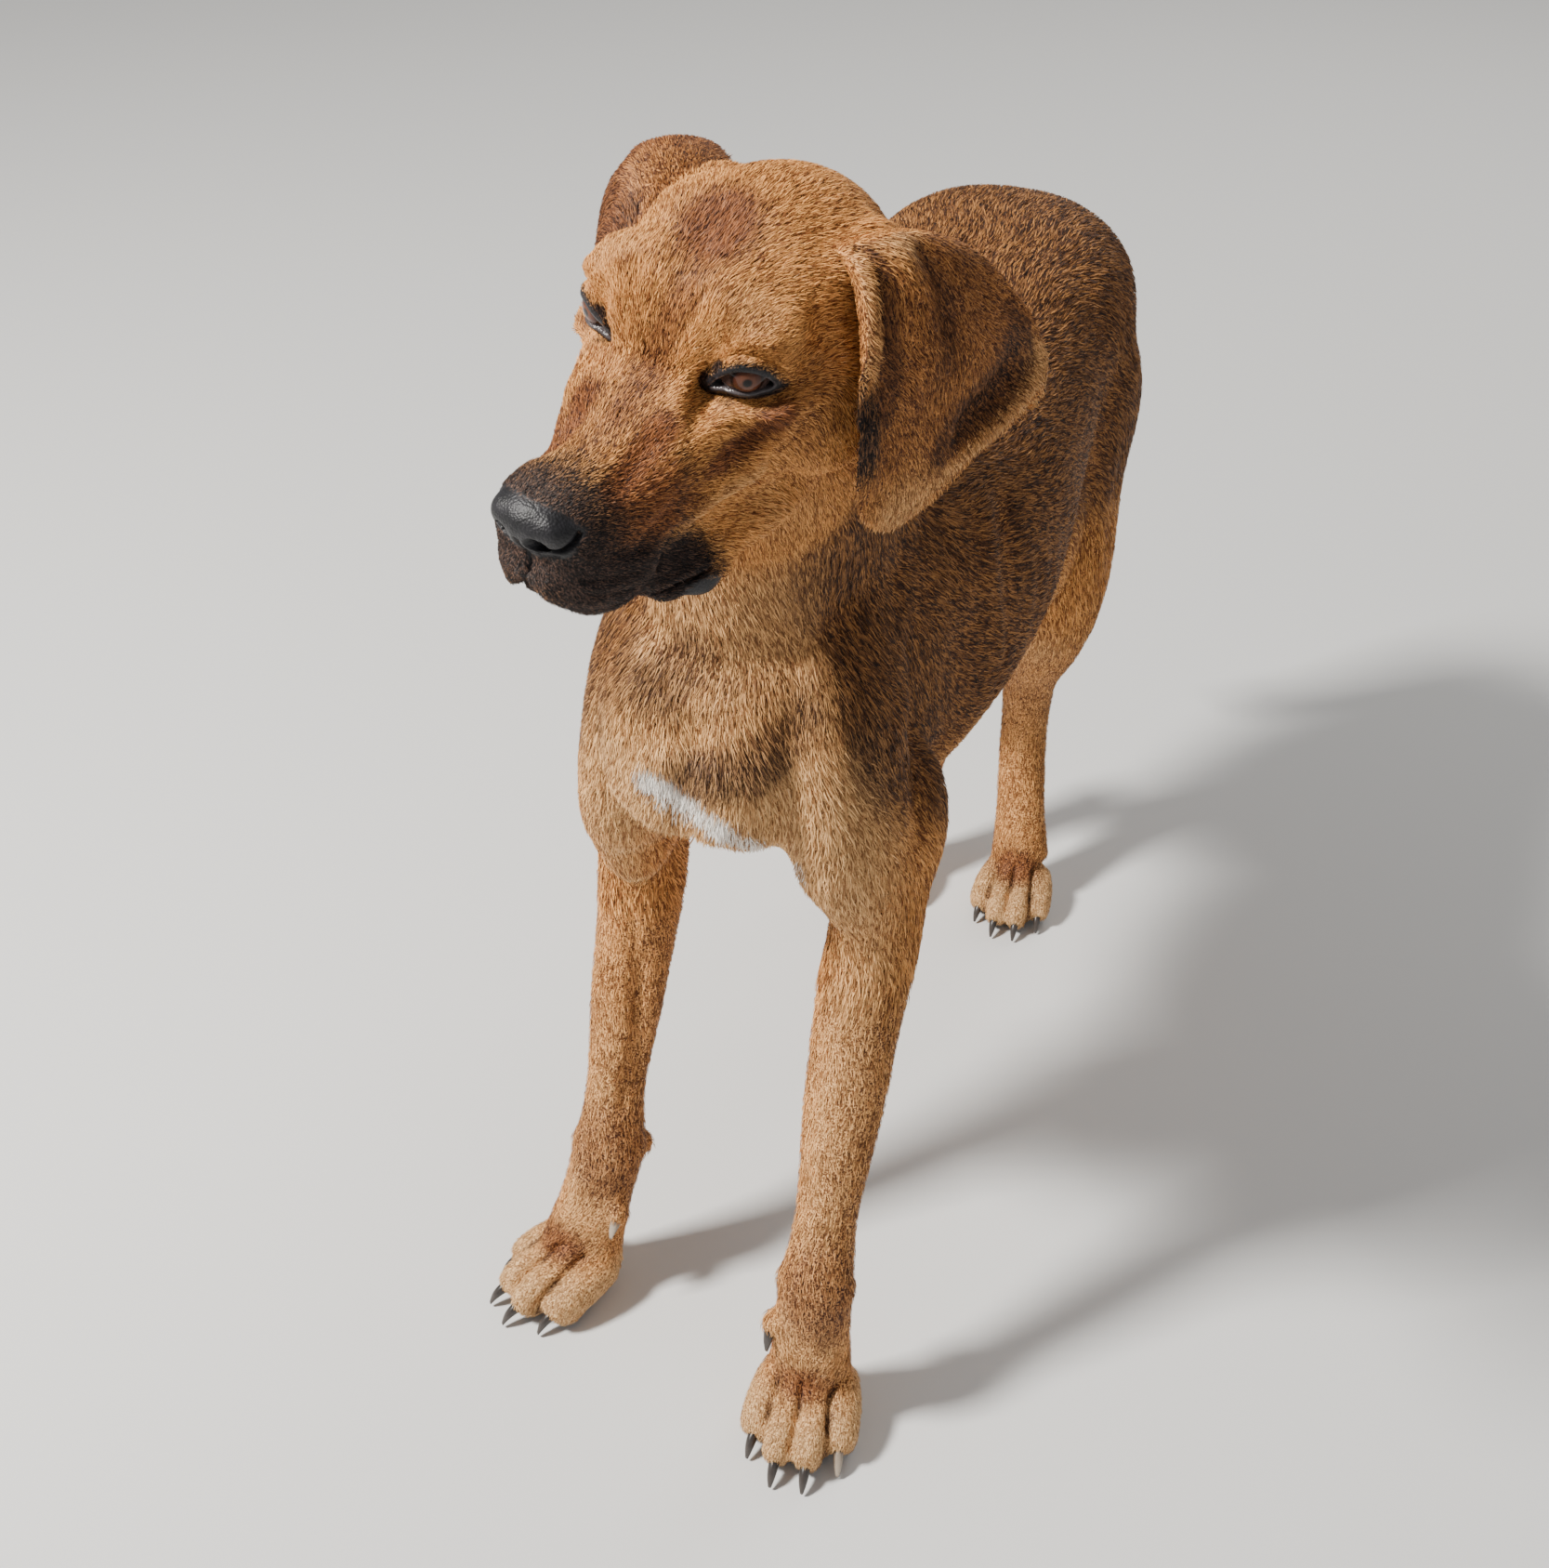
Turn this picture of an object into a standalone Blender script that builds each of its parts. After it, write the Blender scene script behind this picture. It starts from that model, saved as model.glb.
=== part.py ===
"""A short-haired hound-type dog, standing, as a still life-size model.

The flesh is modelled whole from named masses, fused, then parted with thin cuts
where a person would name its parts. Eyes, ears and claws are solids of their own.
The dog faces -Y, its left side is +X and the floor is Z = 0. Metres throughout.
"""

import math

import bmesh
import bpy
from mathutils import Euler, Matrix, Vector

# ---------------------------------------------------------------- driving sizes
CUT = 0.0004              # width of the cuts between one flesh part and the next
CLEAR = 0.0004            # gap round the eyes, ears and claws
FUSE_VOXEL = 0.0035       # grid on which the masses are fused
FLESH_TRIANGLES = 3500    # budget of the whole flesh, before it is parted
RING = 20                 # points round a lofted section
STEPS = 4                 # sections between two stations of a loft

HEAD_AT = Vector((0.017, -0.259, 0.651))       # midway between the eyes
HEAD_TURN = (6.44, 5.04, -18.42)               # degrees about X, Y and Z
EYE_RADIUS = 0.0112
EYE_AT = Vector((0.0292, -0.0016, -0.0010))    # left eyeball, in the head's frame
EYE_LOOK = 30.0                                # degrees each eye looks outwards
EAR_THICK = 0.0062

RUMP_X = 0.024            # the hindquarters stand this far to the dog's left
SIDES = {"left": 1, "right": -1}
SHOULDER = {"left": (0.058, -0.185, 0.405), "right": (-0.050, -0.175, 0.405)}
ELBOW = {"left": (0.071, -0.158, 0.292), "right": (-0.066, -0.128, 0.290)}
CARPUS = {"left": (0.0710, -0.244, 0.104), "right": (-0.0745, -0.186, 0.104)}
FOREPAW = {"left": (0.0685, -0.246, 6.0), "right": (-0.0890, -0.203, -41.0)}
HINDPAW = {"left": (0.0440, 0.232, 3.0), "right": (-0.0490, 0.222, -4.0)}
DEWCLAW_TURN = 0.4        # share of a forepaw's turn that its dewclaw follows
HOCK_X = 0.034            # each hock to the middle of the rump
HIND_SCALE = 0.89         # a hind paw against a forepaw
TOES = ((-0.0235, -0.017, -9), (-0.0085, -0.032, -2), (0.0085, -0.032, 2), (0.0235, -0.017, 9))


# ---------------------------------------------------------------- modelling tools
def clear_scene():
    for old in list(bpy.data.objects):
        bpy.data.objects.remove(old)


def station_between(stations, t):
    """Catmull-Rom values at station number t."""
    last = len(stations) - 1
    i = min(int(t), last - 1)
    u = t - i
    a, b, c, d = (stations[min(max(k, 0), last)] for k in (i - 1, i, i + 1, i + 2))
    return [
        0.5 * (2 * q + (r - p) * u + (2 * p - 5 * q + 4 * r - s) * u**2
               + (3 * q - p - 3 * r + s) * u**3)
        for p, q, r, s in zip(a, b, c, d)
    ]


def rounded(value, power):
    """Keeps the sign of a sine or cosine while squaring up or rounding its curve."""
    return math.copysign(abs(value) ** power, value)


def loft(bm, stations, front, place=Matrix.Identity(4), power=1.0):
    """A closed mass through stations (x, y, z, half width, reach to front, reach to back).

    Sections stand square to the path. The fifth number of a station reaches towards
    front and the sixth away from it; power under 1 makes the section squarer.
    """
    count = (len(stations) - 1) * STEPS + 1
    rows = [station_between(stations, i / STEPS) for i in range(count)]
    centres = [Vector(row[:3]) for row in rows]
    rings = []
    for i, row in enumerate(rows):
        along = (centres[min(i + 1, count - 1)] - centres[max(i - 1, 0)]).normalized()
        fore = (Vector(front) - along * Vector(front).dot(along)).normalized()
        side = along.cross(fore)
        ring = []
        for k in range(RING):
            angle = 2 * math.pi * k / RING
            reach = row[4] if math.sin(angle) > 0 else row[5]
            point = centres[i] + side * row[3] * rounded(math.cos(angle), power)
            point += fore * reach * rounded(math.sin(angle), power)
            ring.append(bm.verts.new(place @ point))
        rings.append(ring)
    for lower, upper in zip(rings, rings[1:]):
        for k in range(RING):
            bm.faces.new((lower[k - 1], lower[k], upper[k], upper[k - 1]))
    for ring in (rings[0], rings[-1]):
        bm.faces.new(ring)


def ellipsoid(bm, centre, radii, turn=(0, 0, 0), place=Matrix.Identity(4)):
    """A rounded mass; turn is in degrees about X, Y and Z."""
    angles = Euler([math.radians(a) for a in turn])
    matrix = place @ Matrix.LocRotScale(Vector(centre), angles, Vector(radii))
    bmesh.ops.create_uvsphere(bm, u_segments=20, v_segments=12, radius=1, matrix=matrix)


def pair(bm, centre, radii, turn=(0, 0, 0), place=Matrix.Identity(4)):
    """The same rounded mass on both sides of a middle plane."""
    for sign in SIDES.values():
        there = (centre[0] * sign, centre[1], centre[2])
        ellipsoid(bm, there, radii, (turn[0], turn[1] * sign, turn[2] * sign), place)


def head_place():
    angles = [math.radians(a) for a in HEAD_TURN]
    turn = (Matrix.Rotation(angles[2], 4, "Z") @ Matrix.Rotation(angles[0], 4, "X")
            @ Matrix.Rotation(angles[1], 4, "Y"))
    return Matrix.Translation(HEAD_AT) @ turn


# ---------------------------------------------------------------- trunk and neck
def trunk(bm):
    """Ribcage, loin and rump: x, y, height, half width, reach up and reach down."""
    sections = (
        (-0.004, -0.236, 0.400, 0.026, 0.030, 0.034),
        (-0.003, -0.222, 0.400, 0.046, 0.056, 0.060),
        (-0.002, -0.190, 0.405, 0.062, 0.090, 0.090),
        (0.000, -0.140, 0.412, 0.074, 0.114, 0.114),
        (0.004, -0.080, 0.418, 0.088, 0.114, 0.130),
        (0.009, -0.020, 0.420, 0.100, 0.102, 0.136),
        (0.014, 0.040, 0.426, 0.103, 0.092, 0.130),
        (0.018, 0.100, 0.434, 0.096, 0.085, 0.110),
        (0.022, 0.160, 0.448, 0.088, 0.080, 0.092),
        (RUMP_X, 0.220, 0.458, 0.090, 0.079, 0.084),
        (RUMP_X, 0.270, 0.452, 0.078, 0.069, 0.076),
        (RUMP_X, 0.308, 0.444, 0.040, 0.042, 0.054),
    )
    loft(bm, sections, (0, 0, 1), power=0.86)


def neck(bm):
    """From the withers and breast up to the back of the skull."""
    sections = (
        (0.000, -0.080, 0.410, 0.066, 0.142, 0.088),
        (0.003, -0.100, 0.458, 0.066, 0.124, 0.100),
        (0.010, -0.128, 0.510, 0.061, 0.098, 0.088),
        (0.020, -0.152, 0.560, 0.056, 0.078, 0.072),
        (0.030, -0.171, 0.606, 0.052, 0.066, 0.058),
        (0.036, -0.184, 0.644, 0.046, 0.052, 0.045),
        (0.038, -0.190, 0.666, 0.028, 0.030, 0.026),
    )
    loft(bm, sections, (0, -1, 0))


def tail(bm):
    sections = (
        (RUMP_X, 0.270, 0.478, 0.022, 0.024, 0.024),
        (RUMP_X, 0.308, 0.462, 0.021, 0.022, 0.022),
        (RUMP_X + 0.001, 0.336, 0.424, 0.0175, 0.0185, 0.0185),
        (RUMP_X + 0.003, 0.350, 0.366, 0.0150, 0.0155, 0.0155),
        (RUMP_X + 0.004, 0.358, 0.306, 0.0130, 0.0135, 0.0135),
        (RUMP_X + 0.004, 0.374, 0.250, 0.0110, 0.0115, 0.0115),
        (RUMP_X + 0.004, 0.402, 0.208, 0.0075, 0.0080, 0.0080),
    )
    loft(bm, sections, (0, 1, 0))


# ---------------------------------------------------------------- head
def head(bm):
    """Skull, muzzle, lips and jaw. In the head's frame the nose points to -Y."""
    place = head_place()
    muzzle = (
        (0, -0.0945, -0.0410, 0.0165, 0.016, 0.022),
        (0, -0.0870, -0.0410, 0.0240, 0.022, 0.029),
        (0, -0.0660, -0.0410, 0.0275, 0.024, 0.033),
        (0, -0.0430, -0.0395, 0.0305, 0.027, 0.035),
        (0, -0.0200, -0.0350, 0.0370, 0.031, 0.036),
        (0, 0.0080, -0.0300, 0.0450, 0.036, 0.040),
        (0, 0.0400, -0.0220, 0.0460, 0.040, 0.042),
    )
    loft(bm, muzzle, (0, 0, 1), place, power=0.86)
    jaw = (
        (0, -0.0850, -0.0680, 0.0110, 0.007, 0.009),
        (0, -0.0740, -0.0700, 0.0180, 0.012, 0.012),
        (0, -0.0500, -0.0750, 0.0250, 0.016, 0.014),
        (0, -0.0220, -0.0790, 0.0310, 0.022, 0.016),
        (0, 0.0120, -0.0760, 0.0380, 0.028, 0.020),
        (0, 0.0420, -0.0640, 0.0390, 0.030, 0.024),
    )
    loft(bm, jaw, (0, 0, 1), place)
    ellipsoid(bm, (0, 0.0520, -0.0050), (0.0510, 0.0600, 0.0500), place=place)
    ellipsoid(bm, (0, 0.0180, 0.0020), (0.0420, 0.0400, 0.0300), place=place)
    ellipsoid(bm, (0, 0.0860, -0.0120), (0.0340, 0.0340, 0.0380), place=place)
    pair(bm, (0.0280, 0.0100, 0.0060), (0.0210, 0.0220, 0.0140), place=place)
    pair(bm, (0.0400, 0.0480, -0.0300), (0.0190, 0.0440, 0.0380), place=place)
    pair(bm, (0.0370, 0.0120, -0.0160), (0.0160, 0.0260, 0.0110), place=place)
    pair(bm, (0.0400, 0.0620, 0.0230), (0.0140, 0.0240, 0.0160), place=place)
    pair(bm, (0.0140, -0.0660, -0.0560), (0.0165, 0.0270, 0.0165), place=place)
    ellipsoid(bm, (0, -0.0935, -0.0290), (0.0180, 0.0095, 0.0135), place=place)


def eye_place(side):
    sign = SIDES[side]
    centre = Vector((EYE_AT.x * sign, EYE_AT.y, EYE_AT.z))
    look = Euler((math.radians(90), 0, math.radians(EYE_LOOK * sign)))
    return head_place() @ Matrix.Translation(centre) @ look.to_matrix().to_4x4()


def eye(side):
    """An eyeball whose pole is the middle of the cornea."""
    bm = bmesh.new()
    bmesh.ops.create_uvsphere(bm, u_segments=12, v_segments=8, radius=EYE_RADIUS)
    bm.transform(eye_place(side))
    return made(side + "_eye", bm)


EAR_STANDS_OUT = {        # the right ear is carried wider, row by row from its root
    "left": (0.0, 0.0, 0.0, 0.0, 0.0, 0.0),
    "right": (0.000, 0.015, 0.012, 0.010, 0.009, 0.009),
}
EAR_ROWS = (
    ((0.036, 0.038, 0.030), (0.040, 0.062, 0.030), (0.040, 0.090, 0.012)),
    ((0.050, 0.036, 0.040), (0.058, 0.064, 0.043), (0.060, 0.100, 0.022)),
    ((0.062, 0.033, 0.016), (0.072, 0.072, 0.018), (0.076, 0.122, -0.010)),
    ((0.065, 0.023, -0.020), (0.074, 0.068, -0.022), (0.084, 0.148, -0.046)),
    ((0.067, 0.016, -0.056), (0.072, 0.058, -0.060), (0.078, 0.106, -0.074)),
    ((0.067, 0.030, -0.086), (0.067, 0.050, -0.098), (0.071, 0.076, -0.090)),
)


def ear(side):
    """A leather flap folded over at its top and hung beside the cheek."""
    sign = SIDES[side]
    bm = bmesh.new()
    grid = [
        [bm.verts.new(((x + wider) * sign, y, z)) for x, y, z in row]
        for row, wider in zip(EAR_ROWS, EAR_STANDS_OUT[side])
    ]
    for upper, lower in zip(grid, grid[1:]):
        for k in range(2):
            bm.faces.new((upper[k], upper[k + 1], lower[k + 1], lower[k]))
    bm.transform(head_place())
    bmesh.ops.recalc_face_normals(bm, faces=bm.faces)
    flap = made(side + "_ear", bm)
    thick = flap.modifiers.new("leather", "SOLIDIFY")
    thick.thickness = EAR_THICK
    thick.offset = 0
    curve = flap.modifiers.new("curve", "SUBSURF")
    curve.levels = curve.render_levels = 1
    return flap


# ---------------------------------------------------------------- legs
def foreleg(bm, side):
    sign = SIDES[side]
    shoulder, elbow, carpus = Vector(SHOULDER[side]), Vector(ELBOW[side]), Vector(CARPUS[side])
    paw_x, paw_y, turn = FOREPAW[side]
    palm = Vector((paw_x, paw_y, 0.030))
    pastern = carpus.lerp(palm, 0.5) + Vector((0, 0.002, 0))
    stations = (
        (*(shoulder + Vector((-0.012 * sign, 0.040, 0.080))), 0.022, 0.036, 0.040),
        (*(shoulder + Vector((-0.004 * sign, 0.018, 0.030))), 0.029, 0.048, 0.052),
        (*(shoulder + Vector((0.004 * sign, 0.012, -0.040))), 0.031, 0.046, 0.052),
        (*(elbow + Vector((0.002 * sign, 0.000, 0.016))), 0.0270, 0.036, 0.038),
        (*elbow.lerp(carpus, 0.20), 0.0240, 0.028, 0.027),
        (*elbow.lerp(carpus, 0.50), 0.0220, 0.0225, 0.0215),
        (*elbow.lerp(carpus, 0.80), 0.0200, 0.0190, 0.0185),
        (*carpus, 0.0220, 0.0205, 0.0200),
        (*pastern, 0.0225, 0.0175, 0.0165),
        (*palm, 0.0260, 0.0190, 0.0180),
    )
    loft(bm, stations, (0, -1, 0))
    ellipsoid(bm, elbow + Vector((-0.004 * sign, 0.029, 0.006)), (0.013, 0.017, 0.022))
    ellipsoid(bm, elbow + Vector((0.006 * sign, 0.024, 0.048)), (0.026, 0.036, 0.052))
    back = Matrix.Rotation(math.radians(turn), 4, "Z") @ Vector((0, 0.020, -0.006))
    ellipsoid(bm, carpus + back, (0.010, 0.009, 0.011))
    ellipsoid(bm, dewclaw_at(side) + Vector((0, 0.002, 0.006)), (0.0075, 0.0085, 0.0115))
    paw(bm, paw_x, paw_y, turn, 1.0)


def dewclaw_at(side):
    """The short inner toe above each forepaw."""
    carpus = Vector(CARPUS[side])
    paw_x, paw_y, turn = FOREPAW[side]
    inwards = Vector((-0.0225 * SIDES[side], -0.004, 0))
    inwards.rotate(Euler((0, 0, math.radians(turn * DEWCLAW_TURN))))
    return carpus.lerp(Vector((paw_x, paw_y, 0.030)), 0.55) + inwards


def hindleg(bm, side):
    sign = SIDES[side]
    across, palm_y, turn = HINDPAW[side]
    palm_x = RUMP_X + across
    back = palm_y - 0.232
    stations = (
        (RUMP_X + 0.040 * sign, 0.222, 0.478, 0.036, 0.056, 0.052),
        (RUMP_X + 0.052 * sign, 0.214, 0.425, 0.046, 0.084, 0.082),
        (RUMP_X + 0.054 * sign, 0.200, 0.365, 0.041, 0.076, 0.084),
        (RUMP_X + 0.053 * sign, 0.186 + back * 0.3, 0.312, 0.039, 0.052, 0.066),
        (RUMP_X + 0.047 * sign, 0.206 + back * 0.6, 0.256, 0.031, 0.036, 0.044),
        (RUMP_X + 0.039 * sign, 0.240 + back, 0.198, 0.0205, 0.0215, 0.027),
        (RUMP_X + HOCK_X * sign, 0.264 + back, 0.152, 0.0190, 0.0200, 0.025),
        (RUMP_X + HOCK_X * sign, 0.264 + back, 0.118, 0.0185, 0.0175, 0.0185),
        ((RUMP_X + HOCK_X * sign + palm_x) / 2, 0.250 + back, 0.072, 0.0190, 0.0160, 0.0160),
        (palm_x, palm_y + 0.008, 0.034, 0.0225, 0.0180, 0.0165),
    )
    loft(bm, stations, (0, -1, 0))
    heel = (RUMP_X + HOCK_X * sign, 0.285 + back, 0.158)
    ellipsoid(bm, heel, (0.0115, 0.0130, 0.0180))
    paw(bm, palm_x, palm_y, turn, HIND_SCALE)


def paw(bm, x, y, turn, scale):
    """Palm, pad and four toes; x and y place the middle of the palm."""
    place = Matrix.Translation((x, y, 0)) @ Matrix.Rotation(math.radians(turn), 4, "Z")
    place = place @ Matrix.Scale(scale, 4)
    ellipsoid(bm, (0, -0.002, 0.022), (0.0265, 0.028, 0.0215), place=place)
    ellipsoid(bm, (0, 0.004, 0.007), (0.0175, 0.014, 0.009), place=place)
    for toe_x, toe_y, spread in TOES:
        toe_place = place @ Matrix.Translation((toe_x, toe_y, 0))
        toe_place = toe_place @ Matrix.Rotation(math.radians(spread), 4, "Z")
        knuckle = (
            (0, 0.030, 0.0250, 0.0080, 0.0100, 0.0100),
            (0, 0.015, 0.0240, 0.0108, 0.0125, 0.0150),
            (0, 0.000, 0.0190, 0.0112, 0.0125, 0.0195),
            (0, -0.011, 0.0135, 0.0098, 0.0110, 0.0145),
            (0, -0.017, 0.0110, 0.0062, 0.0070, 0.0100),
        )
        loft(bm, knuckle, (0, 0, 1), toe_place)


CLAW_PATH = ((0, 0.006, 0.0130, 0.0032), (0, -0.004, 0.0120, 0.0031),
             (0, -0.010, 0.0085, 0.0024), (0, -0.0135, 0.0035, 0.0010))
CLAW_SIDES = 6


def claw(name, place):
    """A curved tapering horn along CLAW_PATH: x, y, z and radius."""
    bm = bmesh.new()
    rings = []
    for x, y, z, radius in CLAW_PATH:
        ring = []
        for k in range(CLAW_SIDES):
            angle = 2 * math.pi * k / CLAW_SIDES
            spot = Vector((x + radius * math.cos(angle), y, z + 1.25 * radius * math.sin(angle)))
            ring.append(bm.verts.new(place @ spot))
        rings.append(ring)
    for back, tip in zip(rings, rings[1:]):
        for k in range(CLAW_SIDES):
            bm.faces.new((back[k - 1], back[k], tip[k], tip[k - 1]))
    bm.faces.new(rings[0])
    bm.faces.new(rings[-1])
    bmesh.ops.recalc_face_normals(bm, faces=bm.faces)
    return made(name, bm)


def paw_claws(prefix, x, y, turn, scale):
    """One claw at the end of each toe, named from the dog's right to its left."""
    place = Matrix.Translation((x, y, 0)) @ Matrix.Rotation(math.radians(turn), 4, "Z")
    place = place @ Matrix.Scale(scale, 4)
    claws = []
    for number, (toe_x, toe_y, spread) in enumerate(TOES, start=1):
        toe_place = place @ Matrix.Translation((toe_x, toe_y - 0.0115, 0))
        toe_place = toe_place @ Matrix.Rotation(math.radians(spread), 4, "Z")
        claws.append(claw(f"{prefix}_claw_{number}", toe_place))
    return claws


# ---------------------------------------------------------------- solids and cuts
def made(name, bm):
    mesh = bpy.data.meshes.new(name)
    bm.to_mesh(mesh)
    bm.free()
    thing = bpy.data.objects.new(name, mesh)
    bpy.context.scene.collection.objects.link(thing)
    return thing


def applied(thing):
    """Replaces an object's mesh by its shape after the modifiers."""
    evaluated = thing.evaluated_get(bpy.context.evaluated_depsgraph_get())
    mesh = bpy.data.meshes.new_from_object(evaluated)
    thing.modifiers.clear()
    thing.data = mesh


def cut_away(thing, cutter, keep_cutter=False):
    boolean = thing.modifiers.new("cut", "BOOLEAN")
    boolean.operation = "DIFFERENCE"
    boolean.solver = "EXACT"
    boolean.use_self = True
    boolean.object = cutter
    applied(thing)
    if not keep_cutter:
        bpy.data.objects.remove(cutter)


def fused_flesh():
    bm = bmesh.new()
    trunk(bm)
    neck(bm)
    head(bm)
    tail(bm)
    for side in SIDES:
        foreleg(bm, side)
        hindleg(bm, side)
    bmesh.ops.recalc_face_normals(bm, faces=bm.faces)
    flesh = made("flesh", bm)
    remesh = flesh.modifiers.new("fuse", "REMESH")
    remesh.mode = "VOXEL"
    remesh.voxel_size = FUSE_VOXEL
    smooth = flesh.modifiers.new("soften", "SMOOTH")
    smooth.factor = 0.5
    smooth.iterations = 6
    applied(flesh)
    decimate = flesh.modifiers.new("lighten", "DECIMATE")
    decimate.ratio = FLESH_TRIANGLES / sum(len(p.vertices) - 2 for p in flesh.data.polygons)
    applied(flesh)
    return flesh


def shell(centre, radii, turn=(0, 0, 0), place=Matrix.Identity(4)):
    """A closed eggshell as thick as a cut: what lies inside it comes away whole."""
    bm = bmesh.new()
    angles = Euler([math.radians(a) for a in turn])
    for grow, inside_out in ((CUT / 2, False), (-CUT / 2, True)):
        size = Vector([r + grow for r in radii])
        matrix = place @ Matrix.LocRotScale(Vector(centre), angles, size)
        egg = bmesh.ops.create_uvsphere(bm, u_segments=10, v_segments=6, radius=1, matrix=matrix)
        if inside_out:
            faces = {face for vert in egg["verts"] for face in vert.link_faces}
            bmesh.ops.reverse_faces(bm, faces=list(faces))
    return made("cutter", bm)


def slab(centre, size, turn=(0, 0, 0), place=Matrix.Identity(4)):
    """A box, used thin as a saw cut; turn is in degrees about X, Y and Z."""
    bm = bmesh.new()
    angles = Euler([math.radians(a) for a in turn])
    matrix = place @ Matrix.LocRotScale(Vector(centre), angles, Vector(size))
    bmesh.ops.create_cube(bm, size=1, matrix=matrix)
    return made("cutter", bm)


def ball(side):
    """The room an eyeball turns in."""
    bm = bmesh.new()
    bmesh.ops.create_uvsphere(bm, u_segments=12, v_segments=8, radius=EYE_RADIUS + CLEAR)
    bm.transform(eye_place(side))
    return made("cutter", bm)


def swollen(flesh):
    """The flesh grown by the clearance, to trim what stands against it."""
    copy = bpy.data.objects.new("swollen", flesh.data.copy())
    bpy.context.scene.collection.objects.link(copy)
    grow = copy.modifiers.new("grow", "DISPLACE")
    grow.strength = CLEAR
    grow.mid_level = 0
    applied(copy)
    return copy


def cuts():
    """Every cutter that parts the flesh, in the order they are used."""
    head_frame = head_place()
    yield slab((0, 0, -0.05), (1, 2, 0.1))
    for side, sign in SIDES.items():
        yield ball(side)
        shoulder, elbow = Vector(SHOULDER[side]), Vector(ELBOW[side])
        middle = shoulder.lerp(elbow, 0.45) + Vector((0.022 * sign, 0.012, 0))
        yield shell(middle, (0.052, 0.082, 0.122))
        yield shell((RUMP_X + 0.080 * sign, 0.212, 0.362), (0.077, 0.132, 0.124))
        carpus = CARPUS[side]
        yield slab((carpus[0], carpus[1], carpus[2] - 0.006), (0.10, 0.10, CUT))
        hock = RUMP_X + HOCK_X * sign
        yield slab((hock, 0.262, 0.128), (0.07, 0.12, CUT))
    yield slab((0, -0.0872, -0.0280), (0.07, CUT, 0.042), (0, 0, 0), head_frame)
    yield slab((0, -0.0970, -0.0480), (0.07, 0.022, CUT), (0, 0, 0), head_frame)
    yield slab((0, -0.0640, -0.0660), (0.12, 0.086, CUT), (-8, 0, 0), head_frame)
    yield slab((0, -0.0130, -0.1000), (0.12, CUT, 0.062), (18, 0, 0), head_frame)
    yield slab((0.030, -0.172, 0.600), (0.18, 0.26, CUT), (30, 0, 0))
    yield slab((0.004, -0.142, 0.486), (0.26, 0.30, CUT), (30, 0, 0))
    yield slab((0.014, -0.010, 0.42), (0.40, CUT, 0.40))
    yield slab((0.018, 0.072, 0.43), (0.40, CUT, 0.40))
    yield slab((RUMP_X, 0.322, 0.440), (0.07, 0.08, CUT), (36, 0, 0))
    yield slab((RUMP_X, 0.350, 0.366), (0.07, 0.08, CUT), (13, 0, 0))
    yield slab((RUMP_X, 0.361, 0.292), (0.07, 0.08, CUT), (16, 0, 0))


# Where the middle of each parted piece lies, to name it by.
FLESH_NODES = {
    "head": (0.017, -0.240, 0.650),
    "nose": (-0.014, -0.341, 0.607),
    "lower_jaw": (0.001, -0.290, 0.570),
    "neck": (0.015, -0.150, 0.540),
    "chest": (0.000, -0.110, 0.400),
    "belly": (0.016, 0.040, 0.410),
    "rump": (RUMP_X, 0.220, 0.440),
    "tail_root": (RUMP_X, 0.340, 0.410),
    "tail_middle": (RUMP_X, 0.355, 0.333),
    "tail_tip": (RUMP_X, 0.373, 0.250),
    "left_shoulder": (0.070, -0.159, 0.333),
    "right_shoulder": (-0.065, -0.137, 0.328),
    "left_foreleg": (0.073, -0.204, 0.185),
    "right_foreleg": (-0.070, -0.161, 0.181),
    "left_forepaw": (0.072, -0.253, 0.041),
    "right_forepaw": (-0.090, -0.203, 0.043),
    "left_thigh": (0.080, 0.209, 0.356),
    "right_thigh": (-0.034, 0.207, 0.359),
    "left_hindleg": (0.069, 0.229, 0.216),
    "right_hindleg": (-0.020, 0.222, 0.212),
    "left_hindpaw": (0.072, 0.235, 0.050),
    "right_hindpaw": (-0.027, 0.227, 0.052),
}
CRUMB = 0.020             # shavings of the cuts smaller than this are swept up

COAT_FAWN = (0.47, 0.26, 0.12)
COAT_SABLE = (0.21, 0.10, 0.05)
COAT_CREAM = (0.60, 0.40, 0.22)
LEATHER_BLACK = (0.02, 0.018, 0.018)
IRIS_BROWN = (0.10, 0.035, 0.012)
HORN_BLACK = (0.03, 0.026, 0.024)
FINISHES = {              # linear colour, roughness and metallic of each kind of part
    "coat_fawn": (COAT_FAWN, 0.80, 0.0),
    "coat_sable": (COAT_SABLE, 0.80, 0.0),
    "coat_cream": (COAT_CREAM, 0.80, 0.0),
    "nose_leather": (LEATHER_BLACK, 0.45, 0.0),
    "eye_wet": (IRIS_BROWN, 0.08, 0.0),
    "claw_horn": (HORN_BLACK, 0.40, 0.0),
}
FINISH_WORDS = (          # the first word found in a part's name picks its finish
    ("nose", "nose_leather"), ("eye", "eye_wet"), ("claw", "claw_horn"), ("ear", "coat_sable"),
    ("neck", "coat_sable"), ("belly", "coat_sable"), ("rump", "coat_sable"),
    ("tail", "coat_sable"), ("thigh", "coat_sable"), ("leg", "coat_cream"),
    ("paw", "coat_cream"), ("chest", "coat_cream"), ("shoulder", "coat_fawn"),
    ("jaw", "coat_fawn"), ("head", "coat_fawn"),
)


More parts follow.
